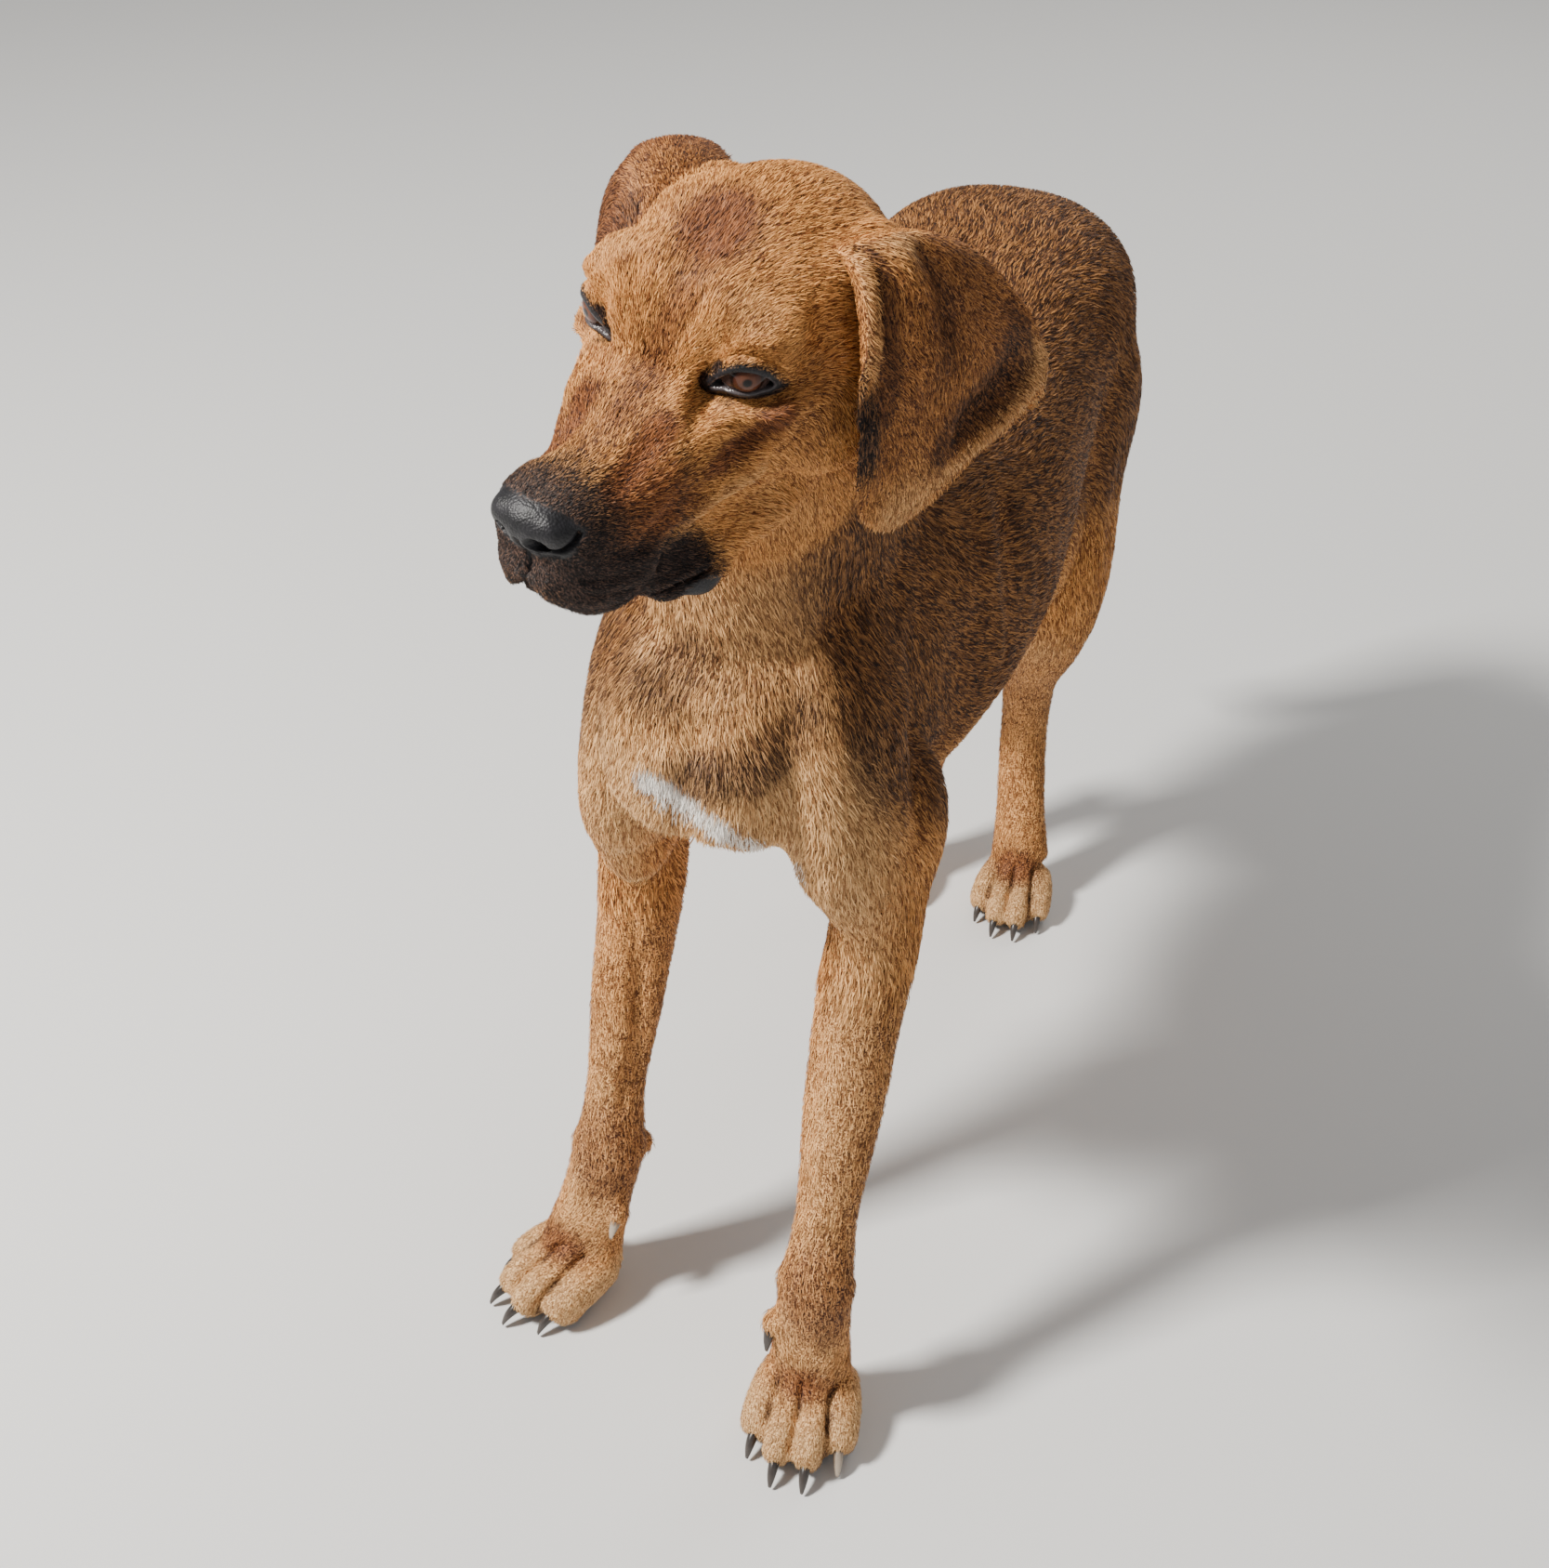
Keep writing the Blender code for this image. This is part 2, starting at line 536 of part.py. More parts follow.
def parted(flesh):
    """Every loose piece of the flesh as an object named after the nearest marker."""
    bm = bmesh.new()
    bm.from_mesh(flesh.data)
    waiting = set(bm.verts)
    while waiting:
        edge_of_piece = [waiting.pop()]
        piece = set(edge_of_piece)
        while edge_of_piece:
            for edge in edge_of_piece.pop().link_edges:
                for vert in edge.verts:
                    if vert not in piece:
                        piece.add(vert)
                        edge_of_piece.append(vert)
        waiting -= piece
        low = Vector([min(v.co[k] for v in piece) for k in range(3)])
        high = Vector([max(v.co[k] for v in piece) for k in range(3)])
        if max(high - low) < CRUMB:
            continue
        middle = (low + high) / 2
        name = min(FLESH_NODES, key=lambda n: (Vector(FLESH_NODES[n]) - middle).length)
        copy = bmesh.new()
        twin = {v: copy.verts.new(v.co) for v in piece}
        for face in {f for v in piece for f in v.link_faces}:
            corners = [twin[v] for v in face.verts]
            folded_back = copy.faces.get(corners)
            if folded_back:
                copy.faces.remove(folded_back)
            else:
                copy.faces.new(corners)
        made(name, copy)
    bm.free()
    bpy.data.objects.remove(flesh)


def finish_material(name):
    slot = next(finish for word, finish in FINISH_WORDS if word in name)
    material = bpy.data.materials.get(slot)
    if material is None:
        colour, roughness, metallic = FINISHES[slot]
        material = bpy.data.materials.new(slot)
        material.use_nodes = True
        shader = material.node_tree.nodes["Principled BSDF"]
        shader.inputs["Base Color"].default_value = (*colour, 1)
        shader.inputs["Roughness"].default_value = roughness
        shader.inputs["Metallic"].default_value = metallic
        material.diffuse_color = (*colour, 1)
    return material


def settle(collection):
    """Names, materials and one shift that puts the origin under the middle of the box."""
    parts = [thing for thing in bpy.data.objects if thing.type == "MESH"]
    corners = [v.co for thing in parts for v in thing.data.vertices]
    middle_x = (min(c.x for c in corners) + max(c.x for c in corners)) / 2
    middle_y = (min(c.y for c in corners) + max(c.y for c in corners)) / 2
    shift = Matrix.Translation((-middle_x, -middle_y, 0))
    for thing in parts:
        thing.data.transform(shift)
        thing.data.name = thing.name
        thing.data.materials.clear()
        thing.data.materials.append(finish_material(thing.name))
        bpy.context.scene.collection.objects.unlink(thing)
        collection.objects.link(thing)


clear_scene()
flesh = fused_flesh()
loose = swollen(flesh)
for side in SIDES:
    eye(side)
    cut_away(ear(side), loose, keep_cutter=True)
    fore = paw_claws(side + "_fore", *FOREPAW[side], 1.0)
    turned = Matrix.Rotation(math.radians(FOREPAW[side][2] * DEWCLAW_TURN), 4, "Z")
    drop = Matrix.Translation(dewclaw_at(side) - Vector((0, 0, 0.009)))
    fore.append(claw(side + "_dewclaw", drop @ turned))
    x, y, turn = HINDPAW[side]
    hind = paw_claws(side + "_hind", RUMP_X + x, y, turn, HIND_SCALE)
    for horn in fore + hind:
        cut_away(horn, loose, keep_cutter=True)
bpy.data.objects.remove(loose)
for cutter in cuts():
    cut_away(flesh, cutter)
parted(flesh)
dog = bpy.data.collections.new("dog")
bpy.context.scene.collection.children.link(dog)
settle(dog)
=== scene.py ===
"""A short-haired hound-type dog, standing, as a life-size museum model.

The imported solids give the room. One skin replaces every solid of flesh, a coat of
mesh hair lies over it, and eyes and claws are pieces of their own.
The dog faces -Y, its left side is +X, the floor is Z = 0. Metres throughout.
"""

import math

import bpy
import numpy as np
from mathutils import Euler, Matrix, Vector
from mathutils.kdtree import KDTree


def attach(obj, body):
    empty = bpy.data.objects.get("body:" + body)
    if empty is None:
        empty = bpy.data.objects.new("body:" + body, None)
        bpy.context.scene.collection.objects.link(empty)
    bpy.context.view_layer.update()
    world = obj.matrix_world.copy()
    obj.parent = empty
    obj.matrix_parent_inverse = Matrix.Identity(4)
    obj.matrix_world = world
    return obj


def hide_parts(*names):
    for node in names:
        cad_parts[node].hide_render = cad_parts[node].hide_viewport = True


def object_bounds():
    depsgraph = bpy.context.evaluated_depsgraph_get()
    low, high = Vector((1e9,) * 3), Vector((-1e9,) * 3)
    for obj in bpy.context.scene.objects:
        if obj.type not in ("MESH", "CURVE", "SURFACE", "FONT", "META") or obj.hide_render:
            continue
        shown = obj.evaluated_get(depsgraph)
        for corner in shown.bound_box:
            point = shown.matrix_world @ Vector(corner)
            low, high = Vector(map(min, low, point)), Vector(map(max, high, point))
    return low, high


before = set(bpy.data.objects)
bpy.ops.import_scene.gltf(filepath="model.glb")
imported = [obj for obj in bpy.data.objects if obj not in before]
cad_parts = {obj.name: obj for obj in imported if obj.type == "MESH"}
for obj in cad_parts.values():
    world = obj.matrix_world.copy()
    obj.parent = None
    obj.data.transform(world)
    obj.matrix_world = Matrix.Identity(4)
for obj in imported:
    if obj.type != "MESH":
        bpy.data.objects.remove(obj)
size_of_solids = [list(corner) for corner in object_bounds()]


# ------------------------------------------------------------------ flesh
# The dog's flesh without its coat, made as a sculptor makes it: rounded masses for
# ribcage, neck, skull, muzzle and limbs, fused in one block and softened. Each mass
# keeps inside the solid that it replaces by the depth of the coat.
stand = Matrix.Translation((0.0012, -0.0261, 0))
head_turn = (Matrix.Rotation(math.radians(-18.42), 4, "Z")
             @ Matrix.Rotation(math.radians(6.44), 4, "X")
             @ Matrix.Rotation(math.radians(5.04), 4, "Y"))
head = stand @ Matrix.Translation((0.017, -0.259, 0.651)) @ head_turn
rump_x = 0.024
sides = {"left": 1, "right": -1}
masses = []


def between(stations, t):
    """Catmull-Rom values at station number t."""
    last = len(stations) - 1
    i = min(int(t), last - 1)
    u = t - i
    a, b, c, d = (np.array(stations[min(max(k, 0), last)]) for k in (i - 1, i, i + 1, i + 2))
    return 0.5 * (2 * b + (c - a) * u + (2 * a - 5 * b + 4 * c - d) * u**2
                  + (3 * b - a - 3 * c + d) * u**3)


def built(name, points, faces):
    """A mesh object from points and faces."""
    mesh = bpy.data.meshes.new(name)
    mesh.from_pydata([tuple(p) for p in points], [], faces)
    thing = bpy.data.objects.new(name, mesh)
    bpy.context.scene.collection.objects.link(thing)
    return thing


def tube_faces(rows, ring):
    """Faces of a tube made of rings of points, closed at both ends."""
    faces = []
    for i in range(rows - 1):
        for k in range(ring):
            a, b = i * ring + k, i * ring + (k + 1) % ring
            faces.append((a, b, b + ring, a + ring))
    faces.append(tuple(reversed(range(ring))))
    faces.append(tuple(range((rows - 1) * ring, rows * ring)))
    return faces


def loft(stations, front, place=stand, power=1.0, ring=36, steps=8):
    """A closed mass through stations (x, y, z, half width, reach to front, reach to back)."""
    count = (len(stations) - 1) * steps + 1
    rows = [between(stations, i / steps) for i in range(count)]
    points = []
    for i, row in enumerate(rows):
        along = rows[min(i + 1, count - 1)][:3] - rows[max(i - 1, 0)][:3]
        along = Vector(along).normalized()
        fore = (Vector(front) - along * Vector(front).dot(along)).normalized()
        side = along.cross(fore)
        for k in range(ring):
            c = math.cos(2 * math.pi * k / ring)
            s = math.sin(2 * math.pi * k / ring)
            reach = row[4] if s > 0 else row[5]
            spot = Vector(row[:3]) + side * row[3] * math.copysign(abs(c) ** power, c)
            spot += fore * reach * math.copysign(abs(s) ** power, s)
            points.append(place @ spot)
    masses.append(built("mass", points, tube_faces(count, ring)))


def egg(centre, radii, turn=(0, 0, 0), place=stand):
    """A rounded mass; turn is in degrees about X, Y and Z."""
    bpy.ops.mesh.primitive_uv_sphere_add(segments=32, ring_count=20, radius=1)
    thing = bpy.context.object
    angles = Euler([math.radians(a) for a in turn])
    thing.data.transform(place @ Matrix.LocRotScale(Vector(centre), angles, Vector(radii)))
    masses.append(thing)


def eggs(centre, radii, turn=(0, 0, 0), place=stand):
    """The same mass on both sides of a middle plane."""
    for sign in (1, -1):
        there = (centre[0] * sign, centre[1], centre[2])
        egg(there, radii, (turn[0], turn[1] * sign, turn[2] * sign), place)


# trunk, neck and tail
loft((
    (-0.004, -0.236, 0.404, 0.026, 0.026, 0.020),
    (-0.003, -0.222, 0.404, 0.046, 0.052, 0.036),
    (-0.002, -0.190, 0.407, 0.062, 0.088, 0.064),
    (0.000, -0.140, 0.412, 0.074, 0.114, 0.107),
    (0.004, -0.080, 0.418, 0.088, 0.114, 0.130),
    (0.009, -0.020, 0.420, 0.100, 0.102, 0.136),
    (0.014, 0.040, 0.426, 0.103, 0.092, 0.130),
    (0.018, 0.100, 0.434, 0.096, 0.085, 0.110),
    (0.022, 0.160, 0.448, 0.088, 0.080, 0.092),
    (rump_x, 0.220, 0.458, 0.090, 0.079, 0.084),
    (rump_x, 0.270, 0.452, 0.078, 0.069, 0.076),
    (rump_x, 0.308, 0.444, 0.040, 0.042, 0.054),
), (0, 0, 1), power=0.86)
loft((
    (0.000, -0.080, 0.410, 0.066, 0.142, 0.088),
    (0.003, -0.100, 0.458, 0.066, 0.124, 0.100),
    (0.010, -0.128, 0.510, 0.061, 0.098, 0.088),
    (0.020, -0.152, 0.560, 0.056, 0.078, 0.072),
    (0.030, -0.171, 0.606, 0.052, 0.066, 0.058),
    (0.036, -0.184, 0.644, 0.046, 0.052, 0.045),
    (0.038, -0.190, 0.666, 0.028, 0.030, 0.026),
), (0, -1, 0))
loft((
    (rump_x, 0.270, 0.478, 0.022, 0.024, 0.024),
    (rump_x, 0.308, 0.462, 0.021, 0.022, 0.022),
    (rump_x + 0.001, 0.336, 0.424, 0.0175, 0.0185, 0.0185),
    (rump_x + 0.003, 0.350, 0.366, 0.0150, 0.0155, 0.0155),
    (rump_x + 0.004, 0.358, 0.306, 0.0130, 0.0135, 0.0135),
    (rump_x + 0.004, 0.374, 0.250, 0.0110, 0.0115, 0.0115),
    (rump_x + 0.004, 0.402, 0.208, 0.0075, 0.0080, 0.0080),
), (0, 1, 0))

# muzzle, jaw, skull, brows, cheeks, temples and the soft upper lips
loft((
    (0, -0.0945, -0.0410, 0.0165, 0.016, 0.022),
    (0, -0.0870, -0.0410, 0.0240, 0.022, 0.029),
    (0, -0.0660, -0.0410, 0.0275, 0.024, 0.033),
    (0, -0.0430, -0.0395, 0.0305, 0.027, 0.035),
    (0, -0.0200, -0.0350, 0.0370, 0.031, 0.036),
    (0, 0.0080, -0.0300, 0.0450, 0.036, 0.040),
    (0, 0.0400, -0.0220, 0.0460, 0.040, 0.042),
), (0, 0, 1), head, power=0.86)
loft((
    (0, -0.0850, -0.0680, 0.0110, 0.007, 0.009),
    (0, -0.0740, -0.0700, 0.0180, 0.012, 0.012),
    (0, -0.0500, -0.0750, 0.0250, 0.016, 0.014),
    (0, -0.0220, -0.0790, 0.0310, 0.022, 0.016),
    (0, 0.0120, -0.0760, 0.0380, 0.028, 0.020),
    (0, 0.0420, -0.0640, 0.0390, 0.030, 0.024),
), (0, 0, 1), head)
egg((0, 0.0520, -0.0050), (0.0510, 0.0600, 0.0500), place=head)
egg((0, 0.0180, 0.0020), (0.0420, 0.0400, 0.0300), place=head)
egg((0, 0.0860, -0.0120), (0.0340, 0.0340, 0.0380), place=head)
eggs((0.0280, 0.0100, 0.0060), (0.0210, 0.0220, 0.0140), place=head)
eggs((0.0400, 0.0480, -0.0300), (0.0190, 0.0440, 0.0380), place=head)
eggs((0.0370, 0.0120, -0.0160), (0.0160, 0.0260, 0.0110), place=head)
eggs((0.0370, 0.0600, 0.0190), (0.0130, 0.0260, 0.0150), place=head)
eggs((0.0140, -0.0660, -0.0585), (0.0160, 0.0290, 0.0205), place=head)
eggs((0.0078, -0.0860, -0.0560), (0.0105, 0.0135, 0.0140), place=head)
eggs((0.0215, -0.0360, -0.0830), (0.0065, 0.0180, 0.0110), (0, -14, 0), place=head)
eggs((0.0270, -0.0240, -0.0860), (0.0060, 0.0160, 0.0115), (0, -14, 0), place=head)
egg((0, -0.0885, -0.0325), (0.0195, 0.0140, 0.0125), place=head)
egg((0, -0.0760, -0.0330), (0.0222, 0.0200, 0.0135), place=head)
eggs((0.0120, -0.0895, -0.0350), (0.0085, 0.0085, 0.0070), place=head)

# limbs: x, y and z of shoulder, elbow and carpus, then x, y and turn of the paw
forelegs = {
    "left": ((0.058, -0.185, 0.405), (0.071, -0.158, 0.292), (0.0710, -0.244, 0.104),
             (0.0685, -0.246, 6.0)),
    "right": ((-0.050, -0.175, 0.405), (-0.066, -0.128, 0.290), (-0.0745, -0.186, 0.104),
              (-0.0890, -0.203, -41.0)),
}
hindpaws = {"left": (0.0440, 0.232, 3.0), "right": (-0.0490, 0.222, -4.0)}
hind_scale = 0.89
toes = ((-0.0235, -0.017, -9), (-0.0085, -0.032, -2), (0.0085, -0.032, 2), (0.0235, -0.017, 9))


def paw_place(x, y, turn, scale):
    return (stand @ Matrix.Translation((x, y, 0))
            @ Matrix.Rotation(math.radians(turn), 4, "Z") @ Matrix.Scale(scale, 4))


def paw(place):
    """Palm, pads and four knuckled toes."""
    egg((0, -0.002, 0.022), (0.0265, 0.028, 0.0215), place=place)
    egg((0, 0.004, 0.0080), (0.0165, 0.013, 0.0072), place=place)
    for toe_x, toe_y, spread in toes:
        toe = (place @ Matrix.Translation((toe_x, toe_y, 0))
               @ Matrix.Rotation(math.radians(spread), 4, "Z"))
        loft((
            (0, 0.030, 0.0250, 0.0080, 0.0100, 0.0100),
            (0, 0.015, 0.0240, 0.0104, 0.0125, 0.0150),
            (0, 0.002, 0.0200, 0.0108, 0.0130, 0.0150),
            (0, -0.010, 0.0150, 0.0096, 0.0110, 0.0125),
            (0, -0.017, 0.0120, 0.0064, 0.0070, 0.0080),
        ), (0, 0, 1), toe, ring=24, steps=5)
        egg((0, -0.004, 0.0068), (0.0088, 0.0112, 0.0058), place=toe)


def dewclaw_spot(side):
    carpus, (x, y, turn) = Vector(forelegs[side][2]), forelegs[side][3]
    inwards = Vector((-0.0225 * sides[side], -0.004, 0))
    inwards.rotate(Euler((0, 0, math.radians(turn * 0.4))))
    return carpus.lerp(Vector((x, y, 0.030)), 0.55) + inwards


for side, sign in sides.items():
    shoulder, elbow, carpus = (Vector(joint) for joint in forelegs[side][:3])
    x, y, turn = forelegs[side][3]
    palm = Vector((x, y, 0.030))
    pastern = carpus.lerp(palm, 0.5) + Vector((0, 0.002, 0))
    wider = 0.0030 if sign > 0 else 0.0024
    loft((
        (*(shoulder + Vector((-0.012 * sign, 0.040, 0.080))), 0.022, 0.036, 0.040),
        (*(shoulder + Vector((-0.004 * sign, 0.018, 0.030))), 0.029, 0.048, 0.052),
        (*(shoulder + Vector((0.004 * sign, 0.012, -0.040))), 0.031, 0.046, 0.052),
        (*(elbow + Vector((0.002 * sign, 0.000, 0.016))), 0.0270, 0.036, 0.038),
        (*elbow.lerp(carpus, 0.20), 0.0240 + wider, 0.029, 0.028),
        (*elbow.lerp(carpus, 0.50), 0.0215 + wider, 0.0235, 0.0225),
        (*elbow.lerp(carpus, 0.80), 0.0192, 0.0190, 0.0185),
        (*carpus, 0.0220, 0.0205, 0.0200),
        (*pastern, 0.0220, 0.0175, 0.0165),
        (*palm, 0.0260, 0.0190, 0.0180),
    ), (0, -1, 0))
    egg(elbow + Vector((-0.004 * sign, 0.029, 0.006)), (0.013, 0.017, 0.022))
    egg(elbow + Vector((0.006 * sign, 0.024, 0.048)), (0.026, 0.036, 0.052))
    if side == "right":
        egg(elbow + Vector((0.007, -0.030, 0.044)), (0.026, 0.034, 0.048))
    back = Matrix.Rotation(math.radians(turn), 4, "Z") @ Vector((0, 0.020, -0.006))
    egg(carpus + back, (0.010, 0.009, 0.011))
    egg(dewclaw_spot(side) + Vector((0, 0.002, 0.006)), (0.0075, 0.0085, 0.0115))
    paw(paw_place(x, y, turn, 1.0))

    across, palm_y, turn = hindpaws[side]
    palm_x = rump_x + across
    back = palm_y - 0.232
    hock_x = rump_x + 0.034 * sign
    loft((
        (rump_x + 0.040 * sign, 0.222, 0.478, 0.036, 0.056, 0.052),
        (rump_x + 0.052 * sign, 0.214, 0.425, 0.046, 0.084, 0.082),
        (rump_x + 0.054 * sign, 0.200, 0.365, 0.041, 0.076, 0.084),
        (rump_x + 0.055 * sign, 0.186 + back * 0.3, 0.312, 0.042, 0.052, 0.066),
        (rump_x + 0.050 * sign, 0.206 + back * 0.6, 0.256, 0.035, 0.036, 0.044),
        (rump_x + 0.040 * sign, 0.240 + back, 0.198, 0.0225, 0.0215, 0.027),
        (hock_x, 0.264 + back, 0.152, 0.0190, 0.0200, 0.025),
        (hock_x, 0.264 + back, 0.118, 0.0185, 0.0175, 0.0185),
        ((hock_x + palm_x) / 2, 0.250 + back, 0.072, 0.0190, 0.0160, 0.0160),
        (palm_x, palm_y + 0.008, 0.034, 0.0225, 0.0180, 0.0165),
    ), (0, -1, 0))
    egg((hock_x, 0.285 + back, 0.158), (0.0115, 0.0130, 0.0180))
    egg((rump_x + 0.057 * sign, 0.140, 0.372), (0.028, 0.056, 0.062))
    paw(paw_place(palm_x, palm_y, turn, hind_scale))


def only(thing):
    """Makes one object the only selected and the active one."""
    bpy.ops.object.select_all(action="DESELECT")
    thing.select_set(True)
    bpy.context.view_layer.objects.active = thing


def applied(thing, kind, **settings):
    """Adds a modifier with these settings and applies it."""
    only(thing)
    modifier = thing.modifiers.new(kind.lower(), kind)
    for setting, value in settings.items():
        setattr(modifier, setting, value)
    bpy.ops.object.modifier_apply(modifier=modifier.name)


def joined(things, name):
    bpy.ops.object.select_all(action="DESELECT")
    for thing in things:
        thing.select_set(True)
    bpy.context.view_layer.objects.active = things[0]
    bpy.ops.object.join()
    things[0].name = things[0].data.name = name
    return things[0]


def turn_outwards(thing):
    """Makes all faces look out of the object."""
    only(thing)
    bpy.ops.object.mode_set(mode="EDIT")
    bpy.ops.mesh.select_all(action="SELECT")
    bpy.ops.mesh.normals_make_consistent(inside=False)
    bpy.ops.object.mode_set(mode="OBJECT")


skin = joined(masses, "skin")
turn_outwards(skin)
grain_of_clay = 0.0022
applied(skin, "REMESH", mode="VOXEL", voxel_size=grain_of_clay)
applied(skin, "SMOOTH", factor=0.5, iterations=14)


# ------------------------------------------------------------------ coat depth
# The block is drawn in by the depth of the coat that will lie over it: four
# millimetres on the trunk, half of that on the head and almost none on toes and nose.
def spots_of(thing):
    """Vertex places as an array."""
    spots = np.empty(len(thing.data.vertices) * 3)
    thing.data.vertices.foreach_get("co", spots)
    return spots.reshape(-1, 3)


def normals_of(thing):
    outwards = np.empty(len(thing.data.vertices) * 3)
    thing.data.vertex_normals.foreach_get("vector", outwards)
    return outwards.reshape(-1, 3)


def move_to(thing, spots):
    thing.data.vertices.foreach_set("co", spots.ravel())
    thing.data.update()


def ramp(value, start, end):
    """0 before start, 1 after end and smooth between them."""
    t = np.clip((value - start) / (end - start), 0, 1)
    return t * t * (3 - 2 * t)


head_inverse = np.array(head.inverted())
head_array = np.array(head)


def in_head(spots):
    """Places in the head's frame, in millimetres: x left, y back, z up."""
    return (spots @ head_inverse[:3, :3].T + head_inverse[:3, 3]) * 1000


def from_head(spots):
    return (np.asarray(spots) / 1000) @ head_array[:3, :3].T + head_array[:3, 3]


def headness(spots):
    """1 on the head, 0 on the neck and beyond."""
    away = np.linalg.norm((in_head(spots) - (0, 2, -20)) / (1, 1.05, 1), axis=1)
    return 1 - ramp(away, 98, 122)


def coat_depth(spots):
    """How deep the coat lies at each place, in metres."""
    on_head = headness(spots)
    muzzle = ramp(-in_head(spots)[:, 1], 40, 92) * on_head
    depth = 0.0012 + 0.0026 * ramp(spots[:, 2], 0.03, 0.30)
    tail_end = ramp(spots[:, 1], 0.28, 0.33) * ramp(spots[:, 2], 0.50, 0.44)
    depth = depth * (1 - 0.45 * tail_end)
    depth = depth * (1 - on_head) + 0.0020 * on_head
    return depth * (1 - muzzle) + 0.0006 * muzzle


spots = spots_of(skin)
move_to(skin, spots - normals_of(skin) * coat_depth(spots)[:, None])


# ------------------------------------------------------------------ body form
# Muscles, ribs, joints and tendons are pressed and raised on the block with soft
# brushes, and the toes are parted with narrow grooves.
def refine(thing, chosen):
    """Splits the faces whose middles are chosen into four."""
    middles = np.empty(len(thing.data.polygons) * 3)
    thing.data.polygons.foreach_get("center", middles)
    only(thing)
    bpy.ops.object.mode_set(mode="EDIT")
    bpy.ops.mesh.select_mode(type="FACE")
    bpy.ops.mesh.select_all(action="DESELECT")
    bpy.ops.object.mode_set(mode="OBJECT")
    thing.data.polygons.foreach_set("select", chosen(middles.reshape(-1, 3)))
    bpy.ops.object.mode_set(mode="EDIT")
    bpy.ops.mesh.subdivide(number_cuts=1)
    bpy.ops.object.mode_set(mode="OBJECT")


def distance_to(path, spots):
    """Distance of each place to a line of points, and how far along the line it is, 0 to 1."""
    path = np.asarray(path, float)
    nearest = np.full(len(spots), 1e9)
    along = np.zeros(len(spots))
    for i, (a, b) in enumerate(zip(path, path[1:])):
        step = b - a
        t = np.clip(((spots - a) @ step) / max(step @ step, 1e-12), 0, 1)
        gap = np.linalg.norm(spots - a - t[:, None] * step, axis=1)
        closer = gap < nearest
        nearest[closer] = gap[closer]
        along[closer] = (i + t[closer]) / (len(path) - 1)
    return nearest, along


def smooth_path(points, count=40):
    """A rounded line through the points."""
    rows = [between(points, t) for t in np.linspace(0, len(points) - 1, count)]
    return np.array(rows)


def laid_on(thing, path):
    """The same line moved onto the surface."""
    return np.array([thing.closest_point_on_mesh(Vector(p))[1] for p in path])


def within(spots, line, reach):
    """Which places lie in the box round a line, grown by this reach."""
    return np.all((spots > line.min(0) - reach) & (spots < line.max(0) + reach), axis=1)


def stroke(thing, spots, outwards, path, width, height, fade=0.25):
    """Raises a ridge of this height along a line, or cuts a groove if it is negative.
    It fades out over this share of its length at each end."""
    line = laid_on(thing, smooth_path(path, 24))
    near = within(spots, line, 2.6 * width)
    gap, along = distance_to(line, spots[near])
    ends = ramp(along, 0, fade) * ramp(1 - along, 0, fade)
    spots[near] += outwards[near] * (height * np.exp(-(gap / width) ** 2) * ends)[:, None]


def swell(spots, outwards, centre, radius, height):
    """Raises a soft swelling, or a hollow if the height is negative."""
    near = within(spots, np.array([centre]), radius)
    gap = np.linalg.norm(spots[near] - np.asarray(centre), axis=1) / radius
    spots[near] += outwards[near] * (height * np.clip(1 - gap**2, 0, 1) ** 2)[:, None]


def on_face(middles):
    where = in_head(middles)
    return (headness(middles) > 0.35) & (where[:, 1] < 70)


applied(skin, "SMOOTH", factor=0.5, iterations=4)
refine(skin, on_face)
applied(skin, "SMOOTH", factor=0.5, iterations=3)


def on_body(*points):
    """Points given over the floor in the dog's own frame."""
    return [tuple(stand @ Vector(p)) for p in points]


def on_feet(middles):
    return middles[:, 2] < 0.052


